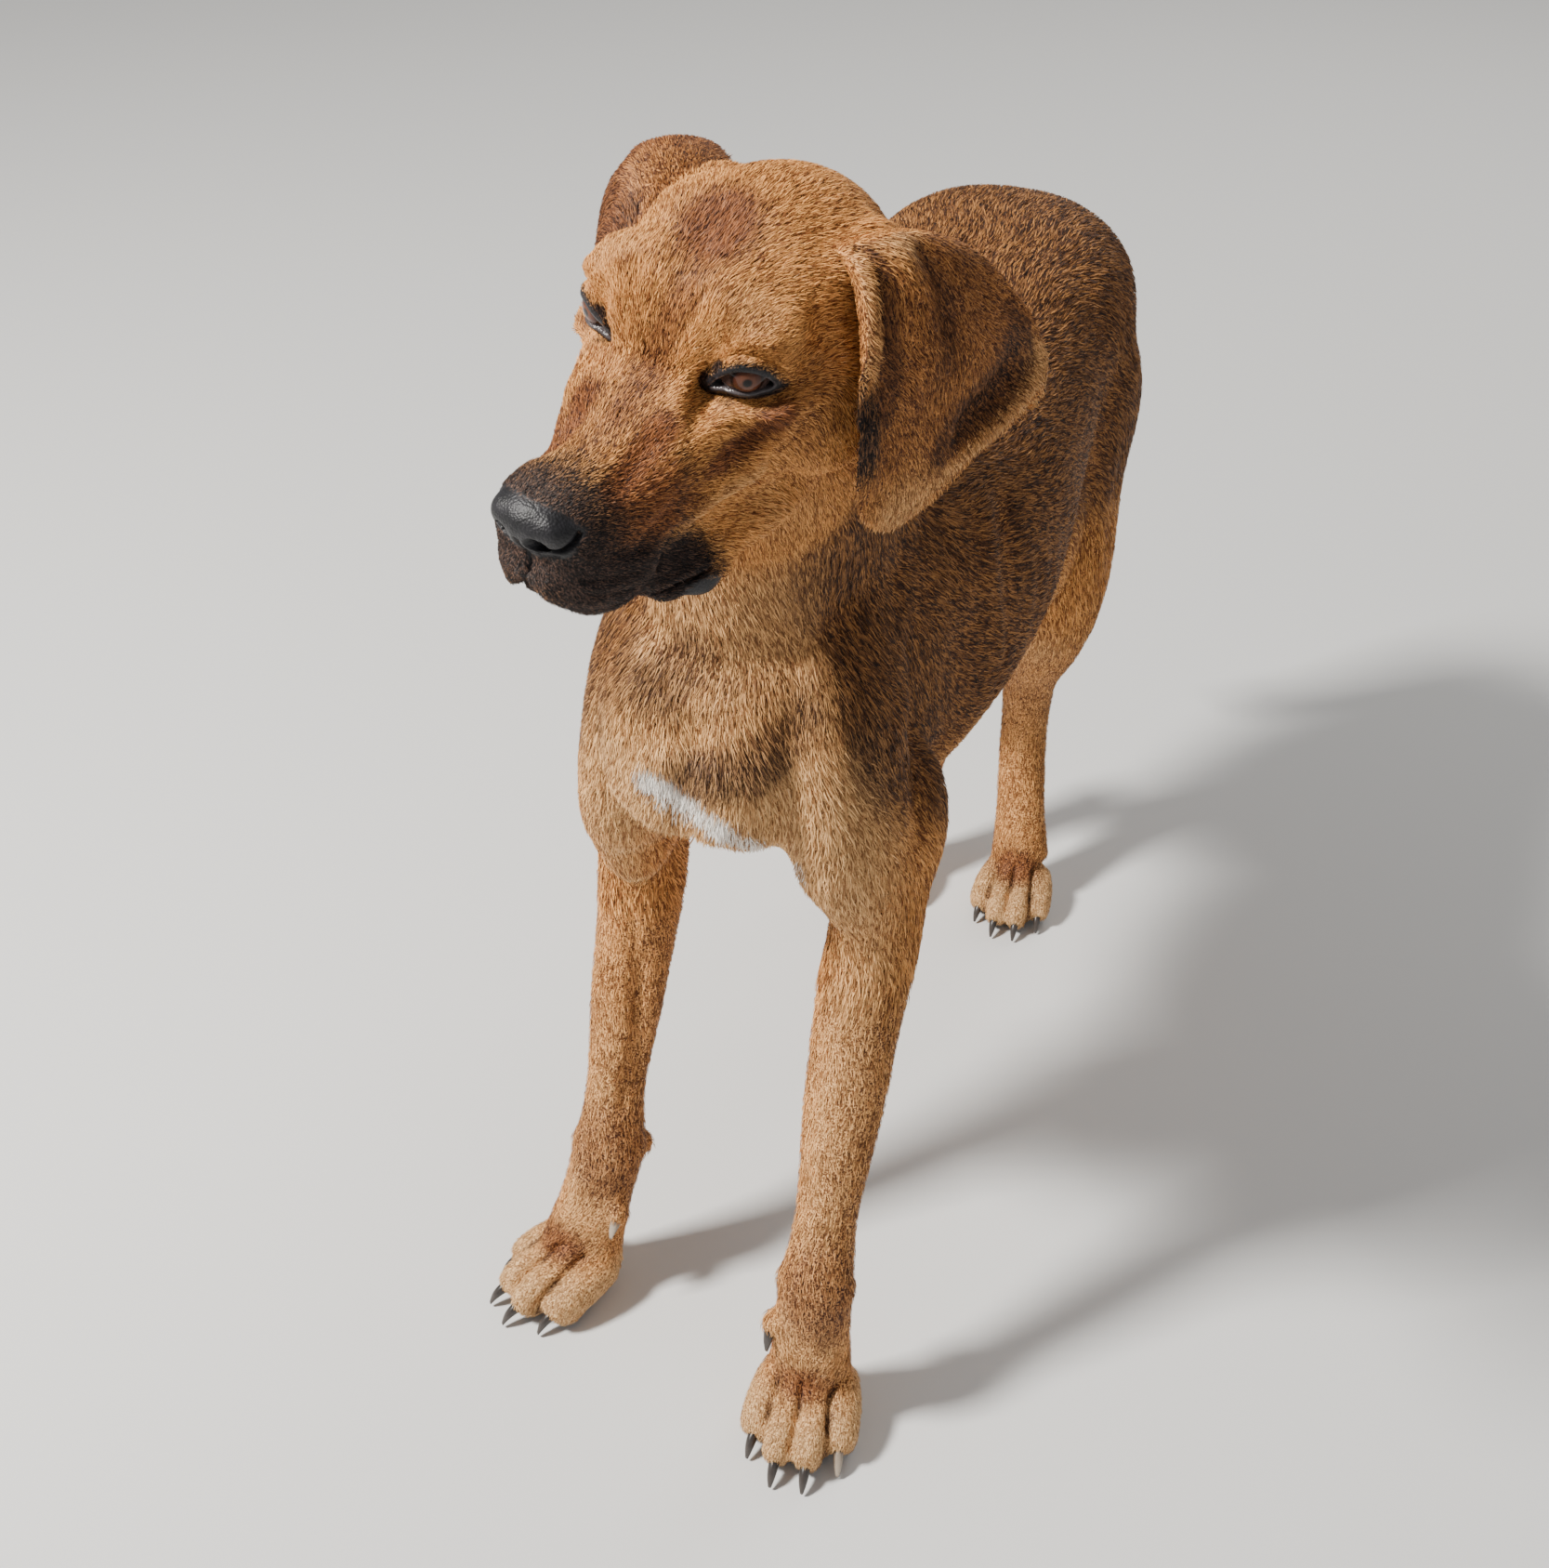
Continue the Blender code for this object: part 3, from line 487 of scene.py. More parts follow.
refine(skin, on_feet)
applied(skin, "SMOOTH", factor=0.5, iterations=2)
spots, outwards = spots_of(skin), normals_of(skin)
for sign in (1, -1):
    near, far = (0.0, 0.0) if sign > 0 else (0.008, 0.03)
    # shoulder blade, the muscle behind it, and the hollow behind the elbow
    blade = on_body((0.030 * sign, -0.085 + near, 0.520), (0.056 * sign, -0.130 + near, 0.465),
                    (0.066 * sign, -0.178 + near, 0.405))
    stroke(skin, spots, outwards, blade, 0.011, 0.0024)
    hollow = on_body((0.085 * sign, -0.085 + far, 0.440), (0.093 * sign, -0.080 + far, 0.385),
                     (0.088 * sign, -0.078 + far, 0.325))
    stroke(skin, spots, outwards, hollow, 0.016, -0.0034)
    arm = on_body((0.074 * sign, -0.192 + near, 0.395), (0.084 * sign, -0.160 + far, 0.345),
                  (0.082 * sign, -0.142 + far, 0.300))
    stroke(skin, spots, outwards, arm, 0.009, 0.0016)
    for rib in range(8):
        y = -0.058 + 0.0195 * rib
        line = on_body(((0.085 + 0.002 * rib) * sign, y, 0.450),
                       ((0.106 + 0.001 * rib) * sign, y + 0.010, 0.395),
                       ((0.094 + 0.001 * rib) * sign, y + 0.012, 0.335))
        stroke(skin, spots, outwards, line, 0.0052, 0.0009, fade=0.4)
    # hip, thigh, kneecap and the hollow in front of the heel's tendon
    hip = rump_x + 0.052 * sign
    swell(spots, outwards, on_body((hip, 0.150, 0.520))[0], 0.030, 0.0030)
    swell(spots, outwards, on_body((rump_x + 0.086 * sign, 0.215, 0.455))[0], 0.032, 0.0022)
    seam = on_body((rump_x + 0.082 * sign, 0.262, 0.450), (rump_x + 0.090 * sign, 0.252, 0.390),
                   (rump_x + 0.086 * sign, 0.240, 0.330))
    stroke(skin, spots, outwards, seam, 0.009, -0.0026)
    front_of_thigh = on_body((rump_x + 0.088 * sign, 0.170, 0.420),
                             (rump_x + 0.092 * sign, 0.165, 0.365),
                             (rump_x + 0.086 * sign, 0.160, 0.315))
    stroke(skin, spots, outwards, front_of_thigh, 0.013, 0.0030)
    swell(spots, outwards, on_body((rump_x + 0.062 * sign, 0.128, 0.305))[0], 0.018, 0.0026)
    for reach in (0.022, -0.012):
        tendon = on_body((rump_x + (0.044 + reach) * sign, 0.238, 0.232),
                         (rump_x + (0.036 + reach) * sign, 0.256, 0.196),
                         (rump_x + (0.034 + reach) * sign, 0.268, 0.170))
        stroke(skin, spots, outwards, tendon, 0.0075, -0.0038)
    # cords of the foreleg and the two bones of the wrist
    side = "left" if sign > 0 else "right"
    elbow, carpus = (Vector(joint) for joint in forelegs[side][1:3])
    for reach, fore, depth in ((0.020, 0.006, -0.0018), (-0.020, 0.006, -0.0018),
                               (-0.0125 * sign, -0.017, -0.0010 if sign > 0 else -0.0030)):
        cord = [stand @ (elbow.lerp(carpus, t) + Vector((reach, fore, 0))) for t in (0.2, 0.5, 0.9)]
        stroke(skin, spots, outwards, [tuple(p) for p in cord], 0.0045, depth)
    for reach in (0.020, -0.020):
        knob = stand @ (carpus + Vector((reach, 0, 0.004)))
        swell(spots, outwards, knob, 0.011, 0.0020)
    # cord of the neck from the jaw to the breastbone
    cord = on_body((0.030 + 0.040 * sign, -0.190, 0.560), (0.018 + 0.040 * sign, -0.190, 0.510),
                   (0.004 + 0.026 * sign, -0.212, 0.440))
    stroke(skin, spots, outwards, cord, 0.012, 0.0026)
# back edge of the left shoulder blade and the slack skin behind it
blade_edge = on_body((0.082, -0.040, 0.488), (0.091, -0.054, 0.466), (0.098, -0.055, 0.429),
                     (0.099, -0.040, 0.379))
stroke(skin, spots, outwards, blade_edge, 0.0070, 0.0024)
slack = on_body((0.088, -0.022, 0.482), (0.097, -0.036, 0.460), (0.102, -0.038, 0.425),
                (0.103, -0.022, 0.379))
stroke(skin, spots, outwards, slack, 0.0090, -0.0026)
# cord down the inner side of the right forearm, and the flesh between chest and left leg
inner_cord = on_body((-0.0646, -0.1596, 0.2757), (-0.0603, -0.1670, 0.2299),
                     (-0.0584, -0.1740, 0.1811), (-0.0560, -0.1797, 0.1288))
stroke(skin, spots, outwards, inner_cord, 0.0046, -0.0034)
swell(spots, outwards, on_body((0.034, -0.224, 0.374))[0], 0.024, 0.0038)
swell(spots, outwards, on_body((0.047, -0.213, 0.348))[0], 0.020, 0.0036)
breast = on_body((0.004, -0.252, 0.470), (-0.002, -0.240, 0.400), (0.000, -0.205, 0.320))
stroke(skin, spots, outwards, breast, 0.009, -0.0042)
swell(spots, outwards, on_body((-0.003, -0.238, 0.412))[0], 0.030, 0.0022)
backbone = on_body((0.000, -0.060, 0.540), (0.010, 0.020, 0.525), (0.020, 0.120, 0.526),
                   (rump_x, 0.220, 0.536))
stroke(skin, spots, outwards, backbone, 0.009, -0.0014)
move_to(skin, spots)
# the folds between chest and upper arms are smoothed into each other
folds = skin.vertex_groups.new(name="arm folds")
spots = spots_of(skin)
for centre in on_body((-0.058, -0.165, 0.296), (0.050, -0.196, 0.338)):
    gap = np.linalg.norm(spots - np.array(centre), axis=1)
    for i in np.flatnonzero(gap < 0.044):
        folds.add([int(i)], float(1 - ramp(gap[i], 0.026, 0.044)), "REPLACE")
applied(skin, "SMOOTH", factor=0.5, iterations=60, vertex_group="arm folds")
skin.vertex_groups.clear()
spots, outwards = spots_of(skin), normals_of(skin)
feet = [paw_place(*forelegs[side][3], 1.0) for side in sides]
feet += [paw_place(rump_x + hindpaws[side][0], *hindpaws[side][1:], hind_scale) for side in sides]
toe_gaps = (-0.0163, 0.0, 0.0163)
for foot in feet:
    for x in toe_gaps:
        gap = [tuple(foot @ Vector(p)) for p in ((x * 0.85, 0.002, 0.040), (x, -0.014, 0.036),
                                                 (x * 1.08, -0.034, 0.022), (x * 1.1, -0.040, 0.006))]
        stroke(skin, spots, outwards, gap, 0.0019, -0.0040, fade=0.2)
move_to(skin, spots)


# ------------------------------------------------------------------ face
# Forehead, brows, cheeks, lips and nose. Furrows follow the muscles that pull the
# brow and lift the lip; the upper lip hangs over the lower, whose black flap shows
# at the corner of the mouth.
def at_head(*points):
    """Points in the head's frame, in millimetres."""
    return [tuple(p) for p in from_head(np.array(points, float))]


def both(points):
    return (points, [(-x, y, z) for x, y, z in points])


face_strokes = (   # points in the head's frame, width and height in millimetres
    # middle furrow of the forehead and the frown between the brows
    (((0, -28, -4), (1, -12, 17), (0, 8, 30), (0, 34, 42)), 6.5, -3.1),
    (((9, -24, 3), (11, -13, 18), (13, -2, 26)), 2.0, -1.5),
    (((-9, -24, 3), (-11, -13, 18), (-13, -2, 26)), 2.0, -1.5),
    (((3, -28, -2), (4, -15, 15), (6, -4, 25)), 1.7, -1.4),
)
paired_strokes = (
    (((20, -20, 4), (23, -14, 9), (27, -8, 13)), 3.6, -0.8),             # frown above the eye
    (((17, -12, 15), (25, -2, 20), (34, 9, 20), (43, 22, 12)), 9.0, 2.4),   # brow
    (((26, -13, 7), (33, -4, 10), (41, 4, 8)), 3.0, 1.4),                # edge of the brow
    (((44, 2, 3), (49, 14, 4), (52, 30, 4)), 5.0, -2.0),                 # behind the eye
    (((19, -25, -8), (24, -30, -13), (28, -35, -21)), 2.2, -0.8),        # tear groove
    (((17, -38, -15), (18, -50, -19), (19, -62, -23), (20, -72, -26)), 6.0, -2.2),
    (((44, -6, -16), (39, -13, -24), (33, -25, -31)), 5.6, -2.6),        # under the eye
    (((47, 8, -22), (43, -4, -29), (36, -18, -36)), 5.5, 2.6),           # cheekbone
    (((26, -36, -28), (25, -50, -34), (24, -62, -38)), 5.5, 1.3),
    (((30, -44, -40), (27, -56, -46), (25, -66, -52)), 4.0, -1.5),
    (((42, -2, -40), (37, -14, -43), (32, -29, -47), (27, -43, -53)), 4.8, 2.8),
    (((43, -2, -54), (37, -18, -59), (31, -34, -64)), 5.0, -2.8),
    (((29, -38, -52), (26, -45, -62), (24, -50, -72)), 2.6, -2.4),       # lip fold
    (((18, -93, -50), (24, -84, -53), (27, -72, -56), (28, -60, -60)), 1.6, -0.9),
    (((17, -90, -57), (23, -82, -60), (26, -70, -64), (27, -58, -68)), 1.6, -1.0),
    (((16, -88, -64), (21, -80, -68), (25, -68, -72), (26, -56, -74)), 1.6, -0.8),
    (((24, -80, -44), (27, -68, -48), (28, -56, -54)), 1.8, -0.8),
    (((46, 30, -26), (47, 44, -36), (44, 52, -52)), 12.0, 2.4),          # chewing muscle
)
spots, outwards = spots_of(skin), normals_of(skin)
for points, width, height in face_strokes:
    stroke(skin, spots, outwards, at_head(*points), width / 1000, height / 1000)
for points, width, height in paired_strokes:
    for line in both(points):
        stroke(skin, spots, outwards, at_head(*line), width / 1000, height / 1000)
move_to(skin, spots)
applied(skin, "SMOOTH", factor=0.5, iterations=3)


# ------------------------------------------------------------------ mouth and nose
# A deep line parts the lips from under the nose to the corner. The nose pad is bare
# leather with round nostrils, a slit at each wing and a groove down to the lip.
def around_muzzle(middles):
    where = in_head(middles)
    front = (where[:, 1] < -76) & (np.abs(where[:, 0]) < 30)
    lips = (where[:, 1] < -12) & (where[:, 2] < -66)
    return (headness(middles) > 0.5) & (front | lips)


refine(skin, around_muzzle)
applied(skin, "SMOOTH", factor=0.4, iterations=2)
mouth_line = ((0, -97, -58), (6, -95.5, -63), (13, -90, -70), (19, -80, -77), (22.5, -66, -80.5),
              (25, -52, -81), (29, -37, -81), (34, -24, -80))


def parted_lips(spots, outwards):
    """Cuts the line of the mouth and lets the lip above it hang over it."""
    for points in both(mouth_line):
        line = laid_on(skin, smooth_path(at_head(*points), 60))
        gap, along = distance_to(line, spots)
        up = np.array(head_array[:3, 2])
        nearest = line[np.clip((along * (len(line) - 1)).round().astype(int), 0, len(line) - 1)]
        above = ((spots - nearest) @ up) * 1000
        ends = ramp(1 - along, 0, 0.06)
        cut = -3.6 * np.exp(-((above + 0.6) / 1.3) ** 2 - (gap * 1000 / 3.2) ** 2)
        lip = 1.5 * np.exp(-((above - 3.4) / 2.6) ** 2 - (gap * 1000 / 6) ** 2)
        spots = spots + outwards * ((cut + lip) * ends / 1000)[:, None]
    return spots


spots, outwards = spots_of(skin), normals_of(skin)
spots = parted_lips(spots, outwards)
move_to(skin, spots)
spots, outwards = spots_of(skin), normals_of(skin)
philtrum = at_head((0, -103, -34), (0, -100, -46), (0, -97, -58))
stroke(skin, spots, outwards, philtrum, 0.0011, -0.0026, fade=0.08)
for sign in (1, -1):
    swell(spots, outwards, at_head((14.5 * sign, -96, -29))[0], 0.0085, 0.0016)
    slit = at_head((10 * sign, -100, -36.5), (15.5 * sign, -96, -37.5), (19.6 * sign, -91, -34),
                   (21.5 * sign, -87, -29))
    stroke(skin, spots, outwards, slit, 0.0010, -0.0030, fade=0.12)
    step = at_head((3 * sign, -98, -43), (10 * sign, -96.5, -42), (17 * sign, -93, -39.5))
    stroke(skin, spots, outwards, step, 0.0009, -0.0012)
move_to(skin, spots)
spots = spots_of(skin)
where = in_head(spots)
for sign in (1, -1):
    hole = np.hypot((where[:, 0] - 8.2 * sign) / 1.25, where[:, 2] + 35.6)
    deep = np.clip(1 - (hole / 3.9) ** 4, 0, 1) * (where[:, 1] < -85)
    where[:, 1] += 8.0 * deep
    where[:, 0] += 1.5 * sign * deep
move_to(skin, from_head(where))


# ------------------------------------------------------------------ eyelids
# The lids lie on the eyeball as they do in life. The skin is drawn over a ball of the
# eye's size, opened along an almond line and folded in behind it. This dog's face is
# not quite even: the right eye sits wider and a little higher.
eye_radius = 11.2
eye_middle = {1: np.array((30.0, -1.6, 0.5)), -1: np.array((-36.4, -1.6, 2.4))}
look = math.radians(30)
almond = ((-14.2, -8.4), (-12.4, -5.2), (-9.6, -1.7), (-5.8, 2.0), (-1.2, 4.2), (4.6, 3.7),
          (9.0, 0.5), (11.8, -4.2), (10.4, -5.8), (7.0, -6.2), (2.6, -6.1), (-2.4, -5.8),
          (-7.0, -5.9), (-11.0, -7.2))


def closed_line(points, count):
    """A rounded closed line through the points."""
    ring = list(points[-2:]) + list(points) + list(points[:3])
    rows = [between(ring, 2 + t) for t in np.linspace(0, len(points), count, endpoint=False)]
    return np.array(rows)


def eye_axes(sign):
    """Rows: towards the ear, up, and the way the eye looks."""
    return np.array(((math.cos(look) * sign, math.sin(look), 0), (0, 0, 1),
                     (math.sin(look) * sign, -math.cos(look), 0)))


def in_eye(spots, sign):
    return (in_head(spots) - eye_middle[sign]) @ eye_axes(sign).T


def from_eye(where, sign):
    return from_head(where @ eye_axes(sign) + eye_middle[sign])


def to_opening(flat, line):
    """Signed distance to the almond line, below zero inside it, and the nearest point on it."""
    nearest = np.full(len(flat), 1e9)
    foot = np.zeros((len(flat), 2))
    inside = np.zeros(len(flat), bool)
    for a, b in zip(line, np.roll(line, -1, axis=0)):
        step = b - a
        t = np.clip(((flat - a) @ step) / (step @ step), 0, 1)
        spot = a + t[:, None] * step
        gap = np.linalg.norm(flat - spot, axis=1)
        closer = gap < nearest
        nearest[closer], foot[closer] = gap[closer], spot[closer]
        crosses = (a[1] > flat[:, 1]) != (b[1] > flat[:, 1])
        reach = a[0] + (flat[:, 1] - a[1]) / (step[1] if step[1] else 1e-9) * step[0]
        inside ^= crosses & (flat[:, 0] < reach)
    return np.where(inside, -nearest, nearest), foot


def ball_height(flat, radius):
    """How far a ball of this radius stands forward, carried on straight past its flank."""
    away = np.linalg.norm(flat, axis=1)
    edge = 0.80 * radius
    inner = np.sqrt(np.clip(radius**2 - np.minimum(away, edge) ** 2, 0, None))
    slope = edge / math.sqrt(radius**2 - edge**2)
    return inner - slope * np.clip(away - edge, 0, None) * 0.55


def near_eyes(reach):
    def chosen(middles):
        close = np.zeros(len(middles), bool)
        for sign in (1, -1):
            where = in_eye(middles, sign)
            close |= (np.linalg.norm(where[:, :2], axis=1) < reach) & (where[:, 2] > -4)
        return close
    return chosen


where = in_head(spots_of(skin))
for sign in (1, -1):
    reach = ramp(where[:, 0] * sign, -12, 18) * (1 - ramp(where[:, 2], 34, 58))
    reach *= ramp(where[:, 1], -62, -30) * (1 - ramp(where[:, 1], 30, 68))
    reach *= ramp(where[:, 2], -75, -50)
    where += reach[:, None] * (eye_middle[sign] - np.array((29.2 * sign, -1.6, -1.0)))
far_side = ramp(-where[:, 0], -4, 16) * ramp(where[:, 2], -52, -34)
far_side *= np.exp(-((where[:, 1] + 48) / 20) ** 2)
where += far_side[:, None] * (3.2, 0, -1.6)
move_to(skin, from_head(where))
opening = closed_line(almond, 90)
refine(skin, near_eyes(19))
refine(skin, near_eyes(16.5))
spots = spots_of(skin)
opening_gap = np.full(len(spots), 99.0)
for sign in (1, -1):
    where = in_eye(spots, sign)
    close = (np.linalg.norm(where[:, :2], axis=1) < 26) & (where[:, 2] > -6)
    near = where[close]
    gap, foot = to_opening(near[:, :2], opening)
    snap = np.abs(gap) < 0.30
    near[snap, :2] = foot[snap]
    gap[snap] = 0
    lid = ball_height(near[:, :2], eye_radius + 1.0)
    lid += 0.7 * np.exp(-((gap - 1.6) / 1.5) ** 2) * (near[:, 1] > -2)
    lid += 0.5 * np.exp(-((gap - 1.4) / 1.2) ** 2) * (near[:, 1] <= -2)
    lid += 1.8 * np.exp(-((near[:, 0] + 13) / 6) ** 2 - ((near[:, 1] + 7) / 6) ** 2)
    lid -= 1.1 * np.exp(-((gap - 4.6) / 0.9) ** 2) * ramp(near[:, 1], -2, 2)
    lid -= 0.8 * np.exp(-((gap - 4.4) / 1.0) ** 2) * ramp(-near[:, 1], 3, 5)
    behind = ball_height(near[:, :2], eye_radius - 2.6)
    behind = np.maximum(behind, lid - 4.6 + 3.2 * ramp(np.abs(near[:, 0]), 8.5, 12.0))
    wide = ramp(gap, 3.2, 9.5)
    outside = lid * (1 - wide) + near[:, 2] * wide
    inward = ramp(-gap, 0.0, 1.1)
    near[:, 2] = np.where(gap < 0, lid * (1 - inward) + behind * inward, outside)
    where[close] = near
    spots[close] = from_eye(where[close], sign)
    opening_gap[close] = np.minimum(opening_gap[close], gap)
move_to(skin, spots)


# ------------------------------------------------------------------ ears
# Each ear is a folded leather flap, three millimetres thick, hung from the top of the
# skull. It is pulled from a coarse cage, then creased and given rolled edges.
ear_rows = {
    "left": (
        ((36, 38, 30), (40, 62, 30), (40, 90, 12)),
        ((50, 34, 40), (58, 64, 42), (60, 98, 21)),
        ((61, 29, 16), (72, 72, 17), (76, 119, -10)),
        ((65, 20, -20), (74, 68, -22), (77, 166, -72)),
        ((67, 14, -56), (72, 58, -58), (77, 104, -72)),
        ((67, 32, -82), (67, 50, -93), (71, 76, -86)),
    ),
    "right": (
        ((32, 30, 24), (40, 62, 32), (40, 90, 12)),
        ((40, 17, 25), (68, 53, 49), (66, 98, 25)),
        ((48, 8, 2), (91, 52, 21), (86, 118, -8)),
        ((54, 6, -26), (97, 50, -20), (90, 156, -62)),
        ((62, 8, -56), (92, 48, -58), (88, 108, -72)),
        ((66, 28, -84), (80, 50, -95), (80, 78, -88)),
    ),
}
ear_creases = {      # across 0 front to 1 back, down 0 root to 1 lobe, width and height
    "left": (
        (((0.05, 0.08), (0.09, 0.26), (0.11, 0.42), (0.11, 0.60)), 0.058, -5.8),
        (((0.00, 0.12), (0.00, 0.34), (0.01, 0.54)), 0.035, 3.2),
        (((0.25, 0.10), (0.29, 0.30), (0.34, 0.50), (0.36, 0.66)), 0.085, 3.6),
        (((0.44, 0.22), (0.50, 0.36), (0.46, 0.54)), 0.060, -3.6),
        (((0.92, 0.50), (0.80, 0.62), (0.60, 0.76)), 0.055, -6.2),
        (((1.00, 0.54), (0.94, 0.68), (0.78, 0.86)), 0.055, 4.4),
        (((0.02, 0.60), (0.04, 0.70), (0.08, 0.84)), 0.060, 2.6),
    ),
    "right": (
        (((0.10, 0.20), (0.14, 0.36), (0.18, 0.50)), 0.06, -3.2),
        (((0.30, 0.12), (0.36, 0.30), (0.40, 0.50)), 0.08, 2.4),
        (((0.55, 0.22), (0.60, 0.40), (0.62, 0.55)), 0.08, 2.4),
        (((0.90, 0.46), (0.80, 0.64), (0.66, 0.82)), 0.06, -3.6),
        (((0.98, 0.56), (0.90, 0.72), (0.74, 0.90)), 0.05, 3.0),
    ),
}


def ear_flap(side):
    """One ear, with the place across and down it kept as a UV map."""
    sign = sides[side]
    points = [head @ Vector((x * sign / 1000, y / 1000, z / 1000))
              for row in ear_rows[side] for x, y, z in row]
    faces = [(r * 3 + k, r * 3 + k + 1, r * 3 + k + 4, r * 3 + k + 3)
             for r in range(5) for k in range(2)]
    if sign > 0:
        faces = [tuple(reversed(face)) for face in faces]
    flap = built(side + " ear", points, faces)
    across = flap.data.uv_layers.new(name="flap")
    for loop in flap.data.loops:
        row, column = divmod(loop.vertex_index, 3)
        across.data[loop.index].uv = (column / 2, row / 5)
    applied(flap, "SOLIDIFY", thickness=0.0030, offset=0)
    applied(flap, "SUBSURF", levels=4, render_levels=4)
    return flap


def flap_places(flap):
    """Across and down, for each vertex of a flap."""
    uv = np.empty(len(flap.data.loops) * 2)
    flap.data.uv_layers["flap"].data.foreach_get("uv", uv)
    owner = np.empty(len(flap.data.loops), int)
    flap.data.loops.foreach_get("vertex_index", owner)
    places = np.zeros((len(flap.data.vertices), 2))
    places[owner] = uv.reshape(-1, 2)
    return places


ears = []
for side, sign in sides.items():
    flap = ear_flap(side)
    places = flap_places(flap)
    spots = in_head(spots_of(flap))
    out = np.array((sign * 0.93, 0.18, 0.30))
    lift = np.zeros(len(spots))
    for line, width, height in ear_creases[side]:
        flat = np.column_stack((smooth_path(line, 24), np.zeros(24)))
        gap, along = distance_to(flat, np.column_stack((places, np.zeros(len(places)))))
        ends = ramp(along, 0, 0.3) * ramp(1 - along, 0, 0.3)
        lift += height * np.exp(-(gap / width) ** 2) * ends
    ripple = 0.5 * np.sin(places[:, 1] * 21 + places[:, 0] * 5) * places[:, 0]
    lift += ripple * ramp(places[:, 1], 0.2, 0.5)
    spots += out * lift[:, None]
    move_to(flap, from_head(spots))
    applied(flap, "SMOOTH", factor=0.5, iterations=2)
    ears.append(flap)


# ------------------------------------------------------------------ one skin
# Ears and block become one skin. It is thinned where it is flat, so that the head
# keeps its detail, and unwrapped for the coat to take its places from.
ear_spots = np.concatenate([spots_of(flap) for flap in ears])
ear_places = np.concatenate([flap_places(flap) for flap in ears])
ear_sides = np.concatenate([normals_of(flap) for flap in ears]) @ head_array[:3, 0]
ear_sides *= np.sign(in_head(ear_spots)[:, 0])
ear_tree = KDTree(len(ear_spots))
for number, spot in enumerate(ear_spots):
    ear_tree.insert(spot, number)
ear_tree.balance()
for flap in ears:
    flap.data.uv_layers.remove(flap.data.uv_layers["flap"])
skin = joined([skin] + ears, "skin")
skin_budget = 188000
triangles = sum(len(face.vertices) - 2 for face in skin.data.polygons)
applied(skin, "DECIMATE", ratio=skin_budget / triangles)
only(skin)
bpy.ops.object.shade_smooth()
bpy.ops.object.mode_set(mode="EDIT")
bpy.ops.mesh.select_all(action="SELECT")
bpy.ops.uv.smart_project(angle_limit=math.radians(66), island_margin=0.0005)
bpy.ops.object.mode_set(mode="OBJECT")
skin.data.uv_layers[0].name = "OFBake"
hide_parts("head", "neck", "lower_jaw", "nose", "chest", "belly", "rump", "tail_root",
            "tail_middle", "tail_tip")
for side in sides:
    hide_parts(*(f"{side}_{part}" for part in (
        "ear", "shoulder", "foreleg", "forepaw", "thigh", "hindleg", "hindpaw")))
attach(skin, "root")
box_low, box_high = (np.array(corner) for corner in size_of_solids)
box_low, box_high = box_low + 0.0002, box_high - 0.0002
move_to(skin, np.clip(spots_of(skin), box_low, box_high))


# ------------------------------------------------------------------ markings
# Where the coat is dark along the back, pale under the body, black on the muzzle and
# red on wrists and toes. Each place carries two sets of three shares, and the shared
# shader group turns them into hair colours on skin and coat alike.
# Some shares also carry painted light: shade in face creases, folds, toe gaps and over the right ear,
# highlight on brows, cheek ridge and ear edges.
stand_offset = np.array(stand.translation)


def patch(spots, centre, radii):
    """1 in the middle of a soft egg-shaped patch and 0 outside it."""
    gap = np.linalg.norm((spots - np.asarray(centre)) / np.asarray(radii), axis=1)
    return 1 - ramp(gap, 0.30, 1.0)


def streak(spots, path, radius):
    """1 along a line and 0 beyond the radius."""
    return 1 - ramp(distance_to(path, spots)[0], 0.25 * radius, radius)


def nose_pad(where):
    """1 on the bare leather of the nose, from places in the head's frame."""
    x, y, z = np.abs(where[:, 0]), where[:, 1], where[:, 2]
    bottom = -43.5 + 0.010 * x**2
    wing = 21.8 - 0.30 * np.clip(-z - 31, 0, 20)
    back_edge = 92.0 - 0.015 * x**2
    pad = ramp(-y, back_edge - 0.7, back_edge + 0.7)
    pad *= ramp(z - bottom, -0.6, 0.6) * ramp(wing - x, -0.6, 0.6)
    groove = ramp(1.6 - x, 0, 0.6) * ramp(z, -59, -57.5) * ramp(-40 - z, 0, 1) * (y < -90)
    return np.maximum(pad, groove)


def lid_gap(spots, sign):
    """Distance in millimetres from the edge of the lids, 99 away from the eye."""
    lids = in_eye(spots, sign)
    gap = np.full(len(spots), 99.0)
    close = (np.linalg.norm(lids[:, :2], axis=1) < 28) & (lids[:, 2] > -5)
    gap[close] = to_opening(lids[close, :2], opening)[0]
    return gap, lids


def ear_share(spots):
    """1 on the ears, with the place across and down the flap and 1 on its outer face."""
    share, outer = np.zeros(len(spots)), np.zeros(len(spots))
    places = np.zeros((len(spots), 2))
    close = np.abs(in_head(spots)[:, 0]) > 30
    close &= spots[:, 2] > 0.5
    for i in np.flatnonzero(close):
        _, number, gap = ear_tree.find(spots[i])
        share[i] = gap < 0.0022
        places[i], outer[i] = ear_places[number], ear_sides[number] > 0
    return share, places, outer


